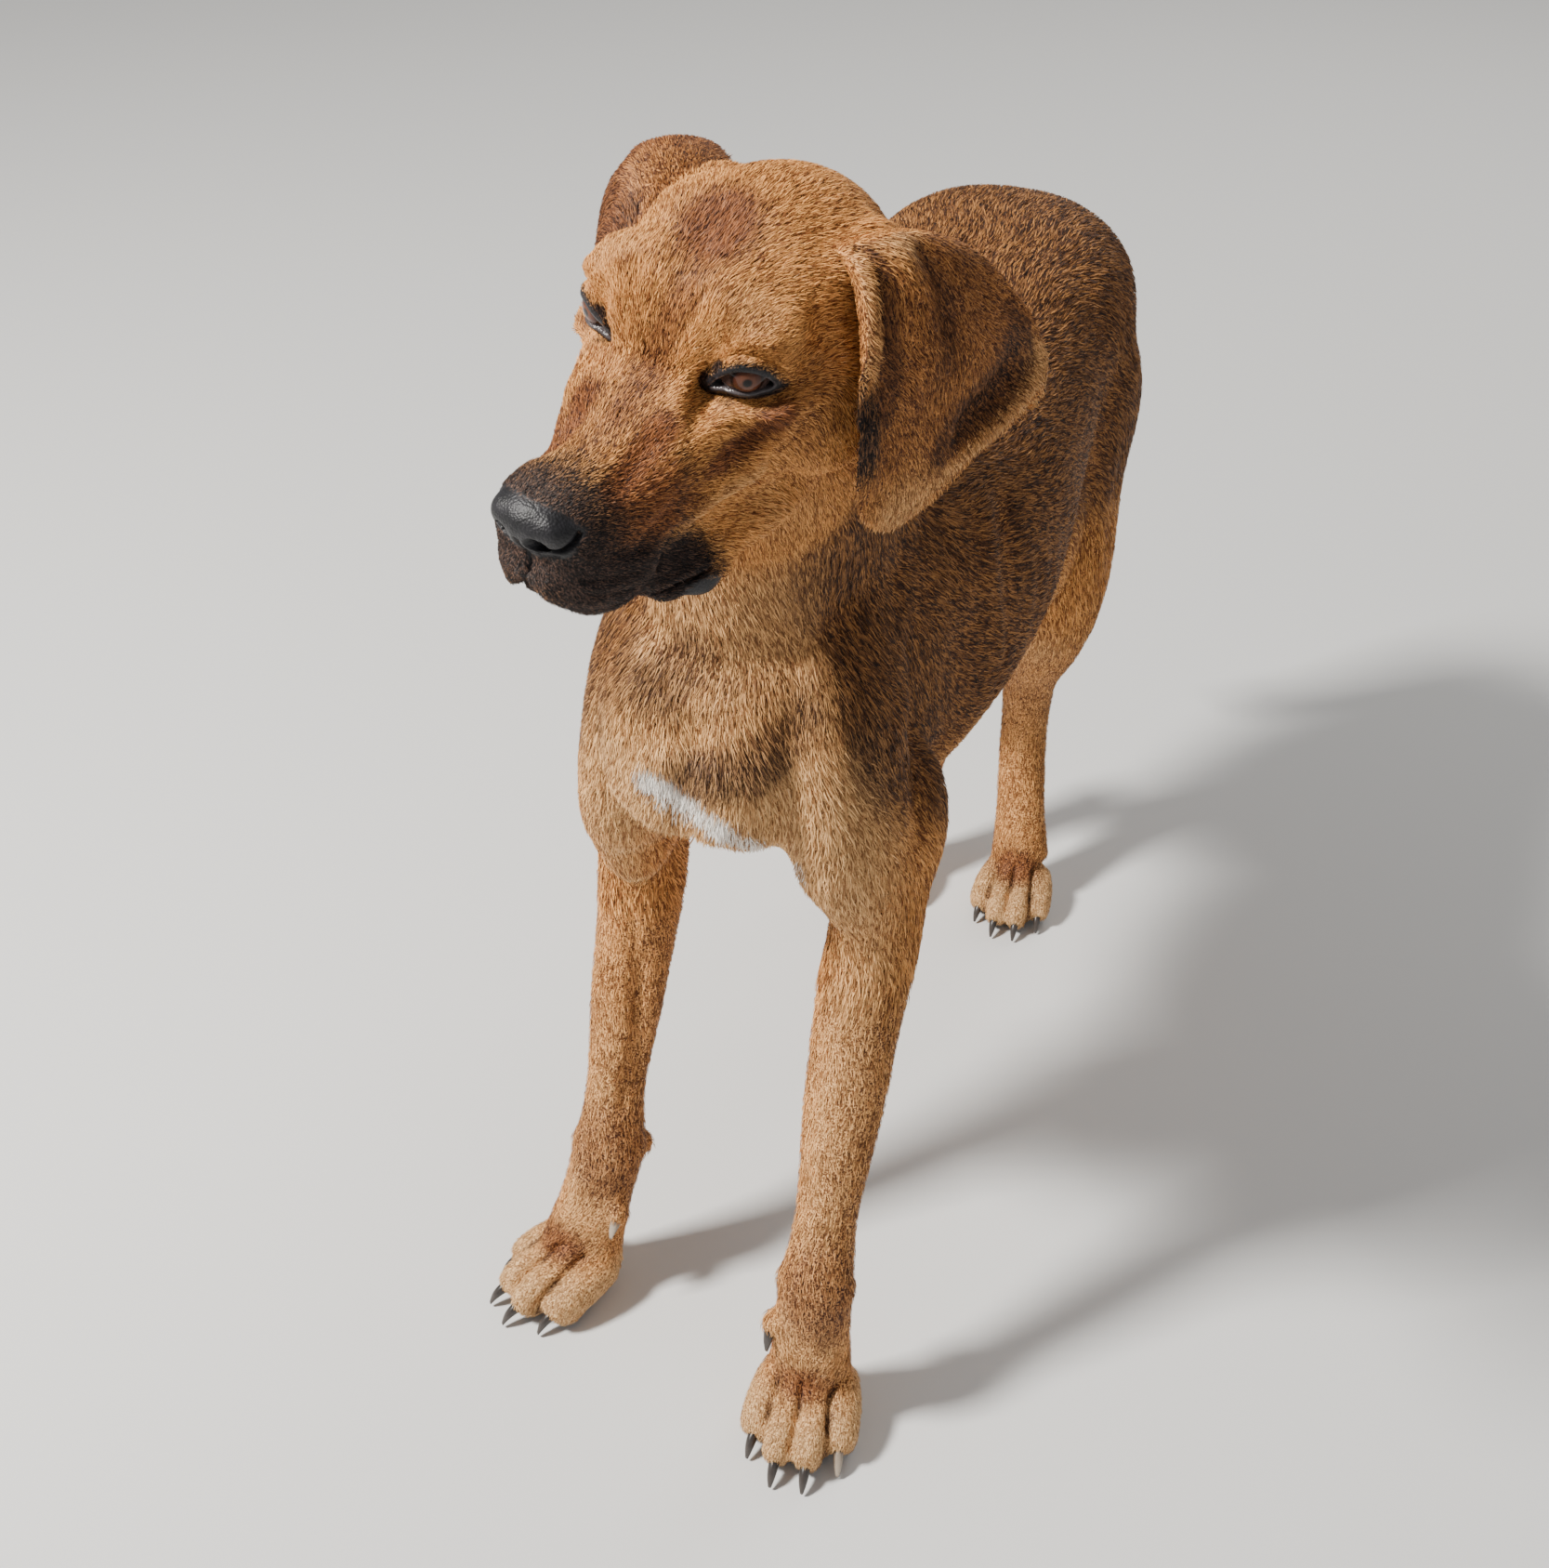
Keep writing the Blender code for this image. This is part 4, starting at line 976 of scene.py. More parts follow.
def trunk_marks(body, outwards, on_head):
    """Shares of sable and cream on trunk and legs, from places in the dog's own frame."""
    y, z = body[:, 1], body[:, 2]
    # dark back, from the nape to the tail and down the sides
    lower_edge = np.interp(y, (-0.24, -0.19, -0.12, 0.0, 0.12, 0.30),
                           (0.45, 0.40, 0.35, 0.355, 0.39, 0.36))
    sable = ramp(z, lower_edge - 0.05, lower_edge + 0.05)
    front = ramp(-outwards[:, 1], 0.35, 0.85) * ramp(-y, 0.13, 0.17) * ramp(0.62 - z, 0.0, 0.03)
    right_of_neck = ramp(-outwards[:, 0] - 0.4 * outwards[:, 1], 0.3, 0.9) * ramp(-y, 0.15, 0.2)
    sable *= 1 - 0.72 * np.maximum(front, 0.6 * right_of_neck)
    sable = np.where(y > 0.31, 0.8 * ramp(z, 0.16, 0.26), sable)
    sable = sable * (1 - on_head)
    # two dark patches across the breast
    wedge = ((0.050, -0.215, 0.455), (0.029, -0.226, 0.4295), (0.004, -0.232, 0.424))
    band = ((-0.045, -0.205, 0.455), (-0.018, -0.222, 0.459), (-0.003, -0.214, 0.480))
    sable = np.maximum(sable, 0.60 * streak(body, wedge, 0.022))
    sable = np.maximum(sable, 0.50 * streak(body, band, 0.026))
    # cream below, on the breast, the throat, the legs and most on the toes
    below = ramp(-outwards[:, 2], 0.25, 0.8) * ramp(z, 0.22, 0.30) * (1 - on_head)
    breast = ramp(-y, 0.165, 0.215) * ramp(0.47 - z, 0, 0.05) * ramp(z, 0.26, 0.31)
    throat = 0.45 * ramp(-outwards[:, 1], 0.4, 0.9) * ramp(-y, 0.15, 0.2)
    cream = np.maximum.reduce((below, 0.65 * breast, throat)) * (1 - on_head)
    cream = np.maximum(cream, 0.20 * (1 - ramp(z, 0.22, 0.32)))
    cream = np.maximum(cream, 0.90 * (1 - ramp(z, 0.026, 0.042)))
    return sable, cream


def head_marks(spots, where, on_head, ear):
    """Shares of cream, black mask and red on the head, from places in the head's frame."""
    cheek = patch(where, (30, 24, -95), (34, 42, 30)) + patch(where, (40, 4, -66), (18, 26, 16))
    # painted highlight on both brows and along the raised ridge of the cheek, over the cheeks' own cream
    brow_highlight = patch(where, (30, 4, 20), (20, 18, 14)) + patch(where, (-34, 4, 22), (20, 18, 14))
    ridge = ((38, -8, -38), (33, -26, -46), (28, -41, -52))
    cream = np.clip(0.18 * cheek + 0.14 * brow_highlight, 0, 0.5)
    cream = np.maximum(cream, 0.34 * streak(where, ridge, 7)) * on_head
    # black: nose end, lips and chin, then lids, corners of eyes and mouth, and painted shade in two folds
    mask = ramp(-where[:, 1], 43, 89) * 0.90
    lips = ramp(-where[:, 2] - 0.45 * (where[:, 1] + 95), 15, 45) * ramp(-where[:, 1], 8, 34) * 0.94
    mask = np.maximum(mask, lips)
    for sign in (1, -1):
        gap, lids = lid_gap(spots, sign)
        rim = (1 - ramp(gap - 1.4 * ramp(-lids[:, 1], 2, 6), 1.2, 4.2)) * 0.86
        corner = patch(lids, (-13.5, -6.5, 4), (9.0, 9.0, 13))
        # dark hair at the inner brow, with painted shade under the brow ridge
        brow_hair_and_shade = patch(lids, (-9.0, 1.0, 8), (6.5, 5.5, 12)) * 0.95
        tear_hair = patch(lids, (-9.5, -11.0, 7), (8.0, 5.0, 12)) * 0.50
        lip_corner = patch(where, (27 * sign, -36, -86), (12, 30, 17)) * 0.78
        nose_fold = ((20 * sign, -44, -13), (22 * sign, -58, -23), (24 * sign, -68, -30))
        lip_fold = ((28 * sign, -38, -20), (30 * sign, -44, -44), (30 * sign, -26, -68))
        # painted shade along the nose fold and the lip fold
        folds = 0.42 * np.maximum(streak(where, nose_fold, 5), streak(where, lip_fold, 5))
        mask = np.maximum.reduce((mask, rim, corner, brow_hair_and_shade, tear_hair, lip_corner, folds))
    mask = np.clip(mask, 0, 1) * on_head * (1 - ear)
    # red: forehead, furrow and bridge, creases that are partly painted shade, muzzle sides and behind the
    # eyes
    red = 0.26 * patch(where, (0, 20, 30), (70, 80, 60))
    red = np.maximum(red, 0.92 * patch(where, (-2, 20, 36), (28, 36, 27)))
    furrow = ((0, 12, 32), (6, -6, 21), (0, -22, -3), (1, -45, -12))
    red = np.maximum(red, 0.66 * streak(where, furrow, 15))
    red = np.maximum(red, 0.46 * patch(where, (0, -56, -15), (24, 38, 24)))
    for sign in (1, -1):
        red_crease_and_shade = ((17 * sign, -38, -15), (18 * sign, -50, -19), (20 * sign, -70, -26))
        red_under_eye_and_shade = ((46 * sign, -2, -14), (39 * sign, -13, -23), (32 * sign, -26, -31))
        # the two creases: partly the coat's red-brown, partly painted shade in the grooves
        red = np.maximum(red, 0.90 * streak(where, red_crease_and_shade, 13))
        red = np.maximum(red, 0.88 * streak(where, red_under_eye_and_shade, 10))
        red = np.maximum(red, 0.82 * patch(where, (24 * sign, -56, -38), (22, 46, 34)))
        red = np.maximum(red, 0.82 * patch(where, (22 * sign, -72, -48), (20, 34, 32)))
        red = np.maximum(red, 0.50 * patch(where, (48 * sign, 14, -20), (20, 36, 46)))
    return cream, mask, red * on_head * (1 - ear)


def ear_marks(where, flap, outer):
    """Shares of sable, cream, black and red on the ears, from places across and down them: brown with a
    golden root that is partly painted highlight, creases darkened with painted shade, pale edges that are
    mostly painted highlight with a dusty lobe, and the right one darkened all over as painted shade."""
    across, down = flap.T
    right_ear_shade = ramp(-where[:, 0], 14, 34)
    # golden root: partly the head's golden colour, partly painted highlight on the top of the flap
    root = 1 - ramp(down + 0.25 * across, 0.18, 0.42)
    # pale rims: painted highlight along the rolled front and rear edges and near the front of the root,
    # and a pale dusty lobe
    rim = 0.8 * streak(flap, ((1.0, 0.56), (0.93, 0.70), (0.80, 0.85)), 0.11)
    rim += 0.8 * patch(flap, (0.40, 0.97), (0.5, 0.22)) + 0.9 * patch(flap, (0.36, 0.14), (0.26, 0.20))
    rim = np.clip(rim + 0.5 * streak(flap, ((0.0, 0.10), (0.0, 0.34), (0.01, 0.50)), 0.05), 0, 1)
    # The right ear is painted as in shade: it loses the painted highlights of root and rims and is redder
    # and darker.
    rim = rim * (1 - 0.85 * right_ear_shade)
    root = root * (1 - 0.70 * right_ear_shade)
    red = (0.62 + 0.2 * right_ear_shade) * (1 - 0.75 * root) * (1 - 0.75 * rim)
    red *= 1 - 0.40 * ramp(down, 0.72, 0.95)
    # painted shade in the creases of the flap, laid along the sculpted creases
    hollow = 0.4 * patch(flap, (0.66, 0.42), (0.26, 0.20))
    hollow += 1.8 * streak(flap, ((0.08, 0.10), (0.12, 0.34), (0.13, 0.58)), 0.10)
    hollow += 2.0 * streak(flap, ((0.90, 0.50), (0.79, 0.62), (0.60, 0.75)), 0.12)
    hollow += 0.8 * streak(flap, ((0.45, 0.22), (0.50, 0.38), (0.46, 0.54)), 0.09)
    sable = np.clip(0.05 + 0.56 * hollow - 0.2 * root - 0.1 * rim, 0, 1)
    # painted shade over the right ear below its root
    sable = np.maximum(sable, 0.55 * right_ear_shade * ramp(down, 0.10, 0.34))
    sable = np.where(outer > 0, sable, 0.16)
    # black hair at the front edge, and painted shade in the rear crease
    black = patch(flap, (0.02, 0.66), (0.09, 0.20))
    rear_crease_shade = streak(flap, ((0.88, 0.52), (0.79, 0.62), (0.64, 0.73)), 0.08)
    black = 0.75 * np.maximum(black, 0.6 * rear_crease_shade)
    return sable, outer * 0.55 * rim, black, red


def leg_marks(spots, body):
    """Shares of red on wrists, forearms, hocks and toes, and of sable as painted shade in the gaps between
    the toes.
    """
    y, z = body[:, 1], body[:, 2]
    red = 0.35 * ramp(z, 0.09, 0.16) * (1 - ramp(z, 0.22, 0.30)) * (y > 0.1)
    for side in sides:
        elbow, wrist = (np.array(joint) for joint in forelegs[side][1:3])
        above_wrist = patch(body, wrist + (0.006, -0.012, 0.008), (0.044, 0.044, 0.068))
        red = np.maximum(red, 0.62 * above_wrist)
        for share in (0.35, 0.65):
            spot = elbow * (1 - share) + wrist * share + (0.016, 0, 0)
            red = np.maximum(red, 0.40 * patch(body, spot, (0.034, 0.05, 0.075)))
    sable = np.zeros(len(spots))
    for foot in feet:
        spot = np.array(foot @ Vector((0, -0.008, 0.042))) - stand_offset
        red = np.maximum(red, 0.80 * patch(body, spot, (0.031, 0.026, 0.026)))
        # painted shade in the gaps between the toes
        for x in toe_gaps:
            gap = [foot @ Vector(p) for p in ((x * 0.9, -0.010, 0.037), (x, -0.020, 0.032),
                                              (x * 1.1, -0.038, 0.008))]
            sable = np.maximum(sable, 1.3 * streak(spots, [tuple(p) for p in gap], 0.0034))
    return sable, red


def white_marks(body):
    """Share of white: a bar across the breast that thins towards the left foreleg."""
    bar = ((-0.018, -0.231, 0.416), (0.002, -0.232, 0.404), (0.016, -0.233, 0.398))
    thin_end = ((0.012, -0.233, 0.399), (0.026, -0.230, 0.390), (0.048, -0.212, 0.360))
    return np.maximum(streak(body, bar, 0.012), 0.75 * streak(body, thin_end, 0.009))


def bare_leather(spots, where, outwards):
    """Share of bare leather: nose, lid edges, lower lip and the pads under the feet."""
    bare = nose_pad(where)
    for sign in (1, -1):
        gap, _ = lid_gap(spots, sign)
        lower_lip = patch(where, (29 * sign, -32, -90), (8, 21, 9.0))
        bare = np.maximum.reduce((bare, 1 - ramp(gap, 1.2, 2.8), lower_lip))
    pads = ramp(-outwards[:, 2], 0.5, 0.8) * (1 - ramp(spots[:, 2] - stand_offset[2], 0.006, 0.010))
    return np.maximum(bare, pads)


def markings(spots, outwards):
    """Sable, cream and black, then red, white and bare leather, 0 to 1 each, and the ears."""
    body, where = spots - stand_offset, in_head(spots)
    ear, flap, outer = ear_share(spots)
    on_head = np.maximum(headness(spots), ear)
    sable, cream = trunk_marks(body, outwards, on_head)
    head_cream_and_highlight, mask, red = head_marks(spots, where, on_head, ear)
    ear_sable_and_shade, ear_cream_and_highlight, ear_black_and_shade, ear_red = ear_marks(where, flap, outer)
    toe_gap_shade, leg_red = leg_marks(spots, body)
    sable = np.maximum.reduce((sable, ear * ear_sable_and_shade, toe_gap_shade))
    cream = np.maximum.reduce((cream, head_cream_and_highlight, ear * ear_cream_and_highlight))
    mask = np.maximum(mask, ear * ear_black_and_shade)
    red = np.maximum.reduce((red, ear * ear_red, leg_red))
    white, bare = white_marks(body), bare_leather(spots, where, outwards)
    return (np.clip(np.column_stack((sable, cream, mask)), 0, 1),
            np.clip(np.column_stack((red, white, bare)), 0, 1), ear)


def keep_shares(thing, name, shares):
    """Stores three shares per vertex as a colour attribute."""
    layer = thing.data.attributes.new(name, "FLOAT_COLOR", "POINT")
    layer.data.foreach_set("color", np.column_stack((shares, np.ones(len(shares)))).ravel())


def keep_value(thing, name, values):
    layer = thing.data.attributes.new(name, "FLOAT", "POINT")
    layer.data.foreach_set("value", np.asarray(values, np.float32))


skin_spots, skin_normals = spots_of(skin), normals_of(skin)
first_shares, second_shares, on_ear = markings(skin_spots, skin_normals)
keep_shares(skin, "dark cream mask", first_shares)
keep_shares(skin, "red white bare", second_shares)
# painted highlight: the wet edge of the lower lids, painted pale grey in the skin material
wet_edge_highlight = np.zeros(len(skin_spots))
for sign in (1, -1):
    gap, lids = lid_gap(skin_spots, sign)
    wet_edge_highlight = np.maximum(wet_edge_highlight, (np.abs(gap + 0.2) < 0.6) * (lids[:, 1] < 1.0) * (lids[:, 2] > 5))
keep_value(skin, "wet edge highlight", wet_edge_highlight)


# ------------------------------------------------------------------ hair colours
# One group mixes the hair colours for skin and coat: golden fawn, cream and white ground, red-brown, sable
# tips that darken towards the end of the hair, black mask, and painted shade that darkens each hair
# towards its root.
def shader_group(name, inputs, outputs):
    """An empty shader group with named sockets."""
    group = bpy.data.node_groups.new(name, "ShaderNodeTree")
    for socket, kind, value in inputs:
        made = group.interface.new_socket(socket, in_out="INPUT", socket_type=kind)
        made.default_value = value
    for socket, kind in outputs:
        group.interface.new_socket(socket, in_out="OUTPUT", socket_type=kind)
    return group, group.nodes.new("NodeGroupInput"), group.nodes.new("NodeGroupOutput")


def noise(tree, scale, detail=3.0):
    """A noise texture on the object's own coordinates."""
    place = tree.nodes.new("ShaderNodeTexCoord")
    texture = tree.nodes.new("ShaderNodeTexNoise")
    texture.inputs["Scale"].default_value = scale
    texture.inputs["Detail"].default_value = detail
    texture.inputs["Roughness"].default_value = 0.55
    tree.links.new(place.outputs["Object"], texture.inputs["Vector"])
    return texture.outputs["Fac"]


def worked(tree, operation, first, second):
    """One sum of two values or sockets."""
    node = tree.nodes.new("ShaderNodeMath")
    node.operation = operation
    for socket, value in zip(node.inputs, (first, second)):
        if isinstance(value, (int, float)):
            socket.default_value = value
        else:
            tree.links.new(value, socket)
    return node.outputs[0]


def spread(tree, value, start, end, low=0.0, high=1.0):
    """Maps start..end to low..high, smoothly and clamped."""
    node = tree.nodes.new("ShaderNodeMapRange")
    node.interpolation_type = "SMOOTHSTEP"
    tree.links.new(value, node.inputs["Value"])
    for socket, number in (("From Min", start), ("From Max", end), ("To Min", low), ("To Max", high)):
        node.inputs[socket].default_value = number
    return node.outputs["Result"]


def wavered(tree, value, by, amount):
    """A value made uneven by another one that lies about a half."""
    away = worked(tree, "SUBTRACT", by, 0.5)
    return worked(tree, "ADD", value, worked(tree, "MULTIPLY", away, amount))


def mixed(tree, share, under, over):
    """Colour over laid on colour under by a share."""
    node = tree.nodes.new("ShaderNodeMix")
    node.data_type = "RGBA"
    colours = [socket for socket in node.inputs if socket.type == "RGBA"]
    tree.links.new(share, node.inputs["Factor"])
    for socket, value in zip(colours, (under, over)):
        if isinstance(value, tuple):
            socket.default_value = (*value, 1)
        else:
            tree.links.new(value, socket)
    return [socket for socket in node.outputs if socket.type == "RGBA"][0]


hair, given, result = shader_group("hound hair", (
    ("Dark cream mask", "NodeSocketColor", (0, 0, 0, 1)),
    ("Red white bare", "NodeSocketColor", (0, 0, 0, 1)),
    ("Tone", "NodeSocketFloat", 0.5),
    ("Along", "NodeSocketFloat", 0.5),
), (("Color", "NodeSocketColor"),))
first = hair.nodes.new("ShaderNodeSeparateColor")
second = hair.nodes.new("ShaderNodeSeparateColor")
hair.links.new(given.outputs["Dark cream mask"], first.inputs[0])
hair.links.new(given.outputs["Red white bare"], second.inputs[0])
dark, cream, mask = first.outputs
red, white, bare = second.outputs
tone, along = given.outputs["Tone"], given.outputs["Along"]
clouds = noise(hair, 38, 3)
specks = noise(hair, 300, 2)
lively = worked(hair, "ADD", worked(hair, "MULTIPLY", tone, 0.66), worked(hair, "MULTIPLY", clouds, 0.34))
# painted shade: each hair darker near its root and lighter towards its tip
lively = wavered(hair, lively, along, 0.22)
light = spread(hair, lively, 0.25, 0.76)
ground = mixed(hair, light, (0.190, 0.056, 0.013), (0.92, 0.430, 0.125))
pale = mixed(hair, light, (0.39, 0.200, 0.075), (0.90, 0.63, 0.32))
colour = mixed(hair, worked(hair, "MULTIPLY", cream, 0.85), ground, pale)
reds = mixed(hair, light, (0.060, 0.018, 0.008), (0.37, 0.126, 0.041))
uneven_red = spread(hair, wavered(hair, red, lively, -0.5), 0.10, 0.90)
colour = mixed(hair, uneven_red, colour, reds)
uneven_white = spread(hair, wavered(hair, white, lively, 1.1), 0.34, 0.90)
colour = mixed(hair, uneven_white, colour, (0.86, 0.81, 0.74))
# sable: a brown veil over the ground, and dark tips on some of the hairs
uneven_dark = spread(hair, wavered(hair, dark, clouds, 0.5), 0.04, 0.70)
colour = mixed(hair, worked(hair, "MULTIPLY", uneven_dark, 0.52), colour, (0.18, 0.060, 0.023))
tips = spread(hair, along, 0.05, 0.70, 0.35, 1.0)
which = worked(hair, "ADD", worked(hair, "MULTIPLY", tone, 0.75), worked(hair, "MULTIPLY", specks, 0.25))
picked = spread(hair, which, 0.34, 0.72, 1.0, 0.30)
tipped = worked(hair, "MULTIPLY", uneven_dark, worked(hair, "MULTIPLY", tips, picked))
sables = mixed(hair, light, (0.014, 0.008, 0.007), (0.085, 0.036, 0.021))
colour = mixed(hair, tipped, colour, sables)
blacks = mixed(hair, spread(hair, lively, 0.36, 0.95), (0.010, 0.008, 0.008), (0.135, 0.076, 0.056))
uneven_mask = spread(hair, wavered(hair, mask, lively, -0.65), 0.10, 0.80)
colour = mixed(hair, uneven_mask, colour, blacks)
hair.links.new(colour, result.inputs["Color"])


def attribute(tree, name, output):
    node = tree.nodes.new("ShaderNodeAttribute")
    node.attribute_name = name
    return node.outputs[output]


def new_material(name, roughness):
    material = bpy.data.materials.new(name)
    material.use_nodes = True
    surface = material.node_tree.nodes["Principled BSDF"]
    surface.inputs["Roughness"].default_value = roughness
    return material, material.node_tree, surface


def hair_colour(tree, tone, along):
    node = tree.nodes.new("ShaderNodeGroup")
    node.node_tree = hair
    tree.links.new(attribute(tree, "dark cream mask", "Color"), node.inputs["Dark cream mask"])
    tree.links.new(attribute(tree, "red white bare", "Color"), node.inputs["Red white bare"])
    for socket, value in (("Tone", tone), ("Along", along)):
        if isinstance(value, float):
            node.inputs[socket].default_value = value
        else:
            tree.links.new(value, node.inputs[socket])
    return node.outputs["Color"]


# skin: hair colours under the coat, black pebbled leather where it is bare, and a painted highlight on the
# wet lower lid edge
hide, tree, surface = new_material("hound skin", 0.62)
# the skin takes the colour low on the hair, with the painted shade of the roots
under = hair_colour(tree, spread(tree, noise(tree, 900, 2), 0.35, 0.65), 0.30)
bare = tree.nodes.new("ShaderNodeSeparateColor")
tree.links.new(attribute(tree, "red white bare", "Color"), bare.inputs[0])
bare = bare.outputs[2]
leather = mixed(tree, spread(tree, noise(tree, 120, 3), 0.3, 0.7),
                (0.006, 0.006, 0.007), (0.019, 0.018, 0.021))
# the wet lower lid edge is painted pale grey as a highlight and made glossier
wet = attribute(tree, "wet edge highlight", "Fac")
covered = mixed(tree, bare, under, leather)
tree.links.new(mixed(tree, wet, covered, (0.075, 0.062, 0.064)), surface.inputs["Base Color"])
surface.inputs["Specular IOR Level"].default_value = 0.34
dull = spread(tree, bare, 0.2, 0.8, 0.75, 0.47)
tree.links.new(worked(tree, "MULTIPLY", dull, spread(tree, wet, 0, 1, 1.0, 0.55)),
               surface.inputs["Roughness"])
place = tree.nodes.new("ShaderNodeTexCoord")
pebbles = tree.nodes.new("ShaderNodeTexVoronoi")
pebbles.inputs["Scale"].default_value = 950
tree.links.new(place.outputs["Object"], pebbles.inputs["Vector"])
grain = worked(tree, "MULTIPLY", pebbles.outputs["Distance"], worked(tree, "MULTIPLY", bare, -1.0))
grain = worked(tree, "ADD", grain, worked(tree, "MULTIPLY", noise(tree, 1400, 2), 0.5))
bump = tree.nodes.new("ShaderNodeBump")
bump.inputs["Strength"].default_value = 0.4
bump.inputs["Distance"].default_value = 0.0005
tree.links.new(grain, bump.inputs["Height"])
tree.links.new(bump.outputs["Normal"], surface.inputs["Normal"])
skin.data.materials.clear()
skin.data.materials.append(hide)


# ------------------------------------------------------------------ eyes
# Each eye is a ball with a clear bulge over the iris, wet all over: dark pupil, amber
# brown iris with a darker rim, and a brownish white that hardly shows.
eye_surface, tree, surface = new_material("wet eye", 0.06)
angle = attribute(tree, "from pole", "Fac")
streaks = noise(tree, 700, 3)
iris = mixed(tree, spread(tree, wavered(tree, angle, streaks, 9.0), 10, 27),
             (0.125, 0.046, 0.025), (0.060, 0.020, 0.012))
pupil = mixed(tree, spread(tree, angle, 6.0, 12.0), (0.005, 0.003, 0.003), iris)
rim = mixed(tree, spread(tree, angle, 25.0, 30.0), pupil, (0.012, 0.007, 0.006))
white_of_eye = mixed(tree, spread(tree, angle, 31, 38), rim, (0.050, 0.030, 0.026))
tree.links.new(white_of_eye, surface.inputs["Base Color"])
surface.inputs["Coat Weight"].default_value = 0.4
surface.inputs["Coat Roughness"].default_value = 0.02
surface.inputs["Coat IOR"].default_value = 1.36
surface.inputs["Specular IOR Level"].default_value = 0.1
for side, sign in sides.items():
    bpy.ops.mesh.primitive_uv_sphere_add(segments=48, ring_count=32, radius=1)
    eyeball = bpy.context.object
    eyeball.name = eyeball.data.name = side + "_eyeball"
    unit = spots_of(eyeball)
    polar = np.degrees(np.arccos(np.clip(unit[:, 2], -1, 1)))
    bulge = 1 + 0.055 * np.clip(1 - (polar / 36) ** 2, 0, 1)
    forward = np.array((0.20 * sign, -0.05, 0.977))
    right = np.cross((0, 1, 0), forward)
    right /= np.linalg.norm(right)
    turned = unit @ np.array((right, np.cross(forward, right), forward))
    move_to(eyeball, from_eye(turned * (eye_radius * bulge)[:, None] * 0.995, sign))
    keep_value(eyeball, "from pole", polar)
    if sign < 0:
        eyeball.data.flip_normals()
    bpy.ops.object.shade_smooth()
    eyeball.data.materials.append(eye_surface)
    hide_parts(side + "_eye")
    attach(eyeball, "root")


# ------------------------------------------------------------------ claws
# Curved dark horn, one at each toe and one on each dewclaw, with a paler outer claw
# on the left forefoot.
def horn_material(name, root, tip):
    material, tree, surface = new_material(name, 0.34)
    grown = attribute(tree, "grown", "Fac")
    uneven = wavered(tree, grown, noise(tree, 420), 0.5)
    tree.links.new(mixed(tree, spread(tree, uneven, 0.1, 0.9), root, tip), surface.inputs["Base Color"])
    return material


dark_horn = horn_material("dark horn", (0.016, 0.013, 0.012), (0.060, 0.050, 0.045))
pale_horn = horn_material("pale horn", (0.16, 0.12, 0.09), (0.42, 0.34, 0.26))
claw_path = ((0, 6.0, 13.0, 3.2), (0, -4.0, 12.0, 3.1), (0, -10.0, 8.5, 2.4), (0, -13.5, 3.5, 1.0))


def claw(node, place, material, length=1.0):
    """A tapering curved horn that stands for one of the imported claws."""
    points, grown = [], []
    rows, ring = 13, 14
    for i in range(rows):
        x, y, z, radius = between(claw_path, 3 * i / (rows - 1))
        radius = max(radius, 0.75) * 0.97
        for k in range(ring):
            angle = 2 * math.pi * k / ring
            spot = (x + radius * math.cos(angle), y * length, z + 1.25 * radius * math.sin(angle))
            points.append(place @ (Vector(spot) / 1000))
            grown.append(i / (rows - 1))
    horn = built(node + "_horn", points, tube_faces(rows, ring))
    turn_outwards(horn)
    bpy.ops.object.shade_smooth()
    keep_value(horn, "grown", grown)
    horn.data.materials.append(material)
    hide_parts(node)
    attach(horn, "root")


for side, sign in sides.items():
    fore = paw_place(*forelegs[side][3], 1.0)
    hind = paw_place(rump_x + hindpaws[side][0], *hindpaws[side][1:], hind_scale)
    for number, (toe_x, toe_y, spread_angle) in enumerate(toes, start=1):
        toe = (Matrix.Translation((toe_x, toe_y - 0.0115, 0))
               @ Matrix.Rotation(math.radians(spread_angle), 4, "Z"))
        outer = side == "left" and number == 4
        claw(f"{side}_fore_claw_{number}", fore @ toe, pale_horn if outer else dark_horn)
        claw(f"{side}_hind_claw_{number}", hind @ toe, dark_horn, 0.9)
    turned = Matrix.Rotation(math.radians(forelegs[side][3][2] * 0.4), 4, "Z")
    drop = stand @ Matrix.Translation(dewclaw_spot(side) - Vector((0, 0, 0.009))) @ turned
    claw(f"{side}_dewclaw", drop, pale_horn if side == "right" else dark_horn, 0.6)


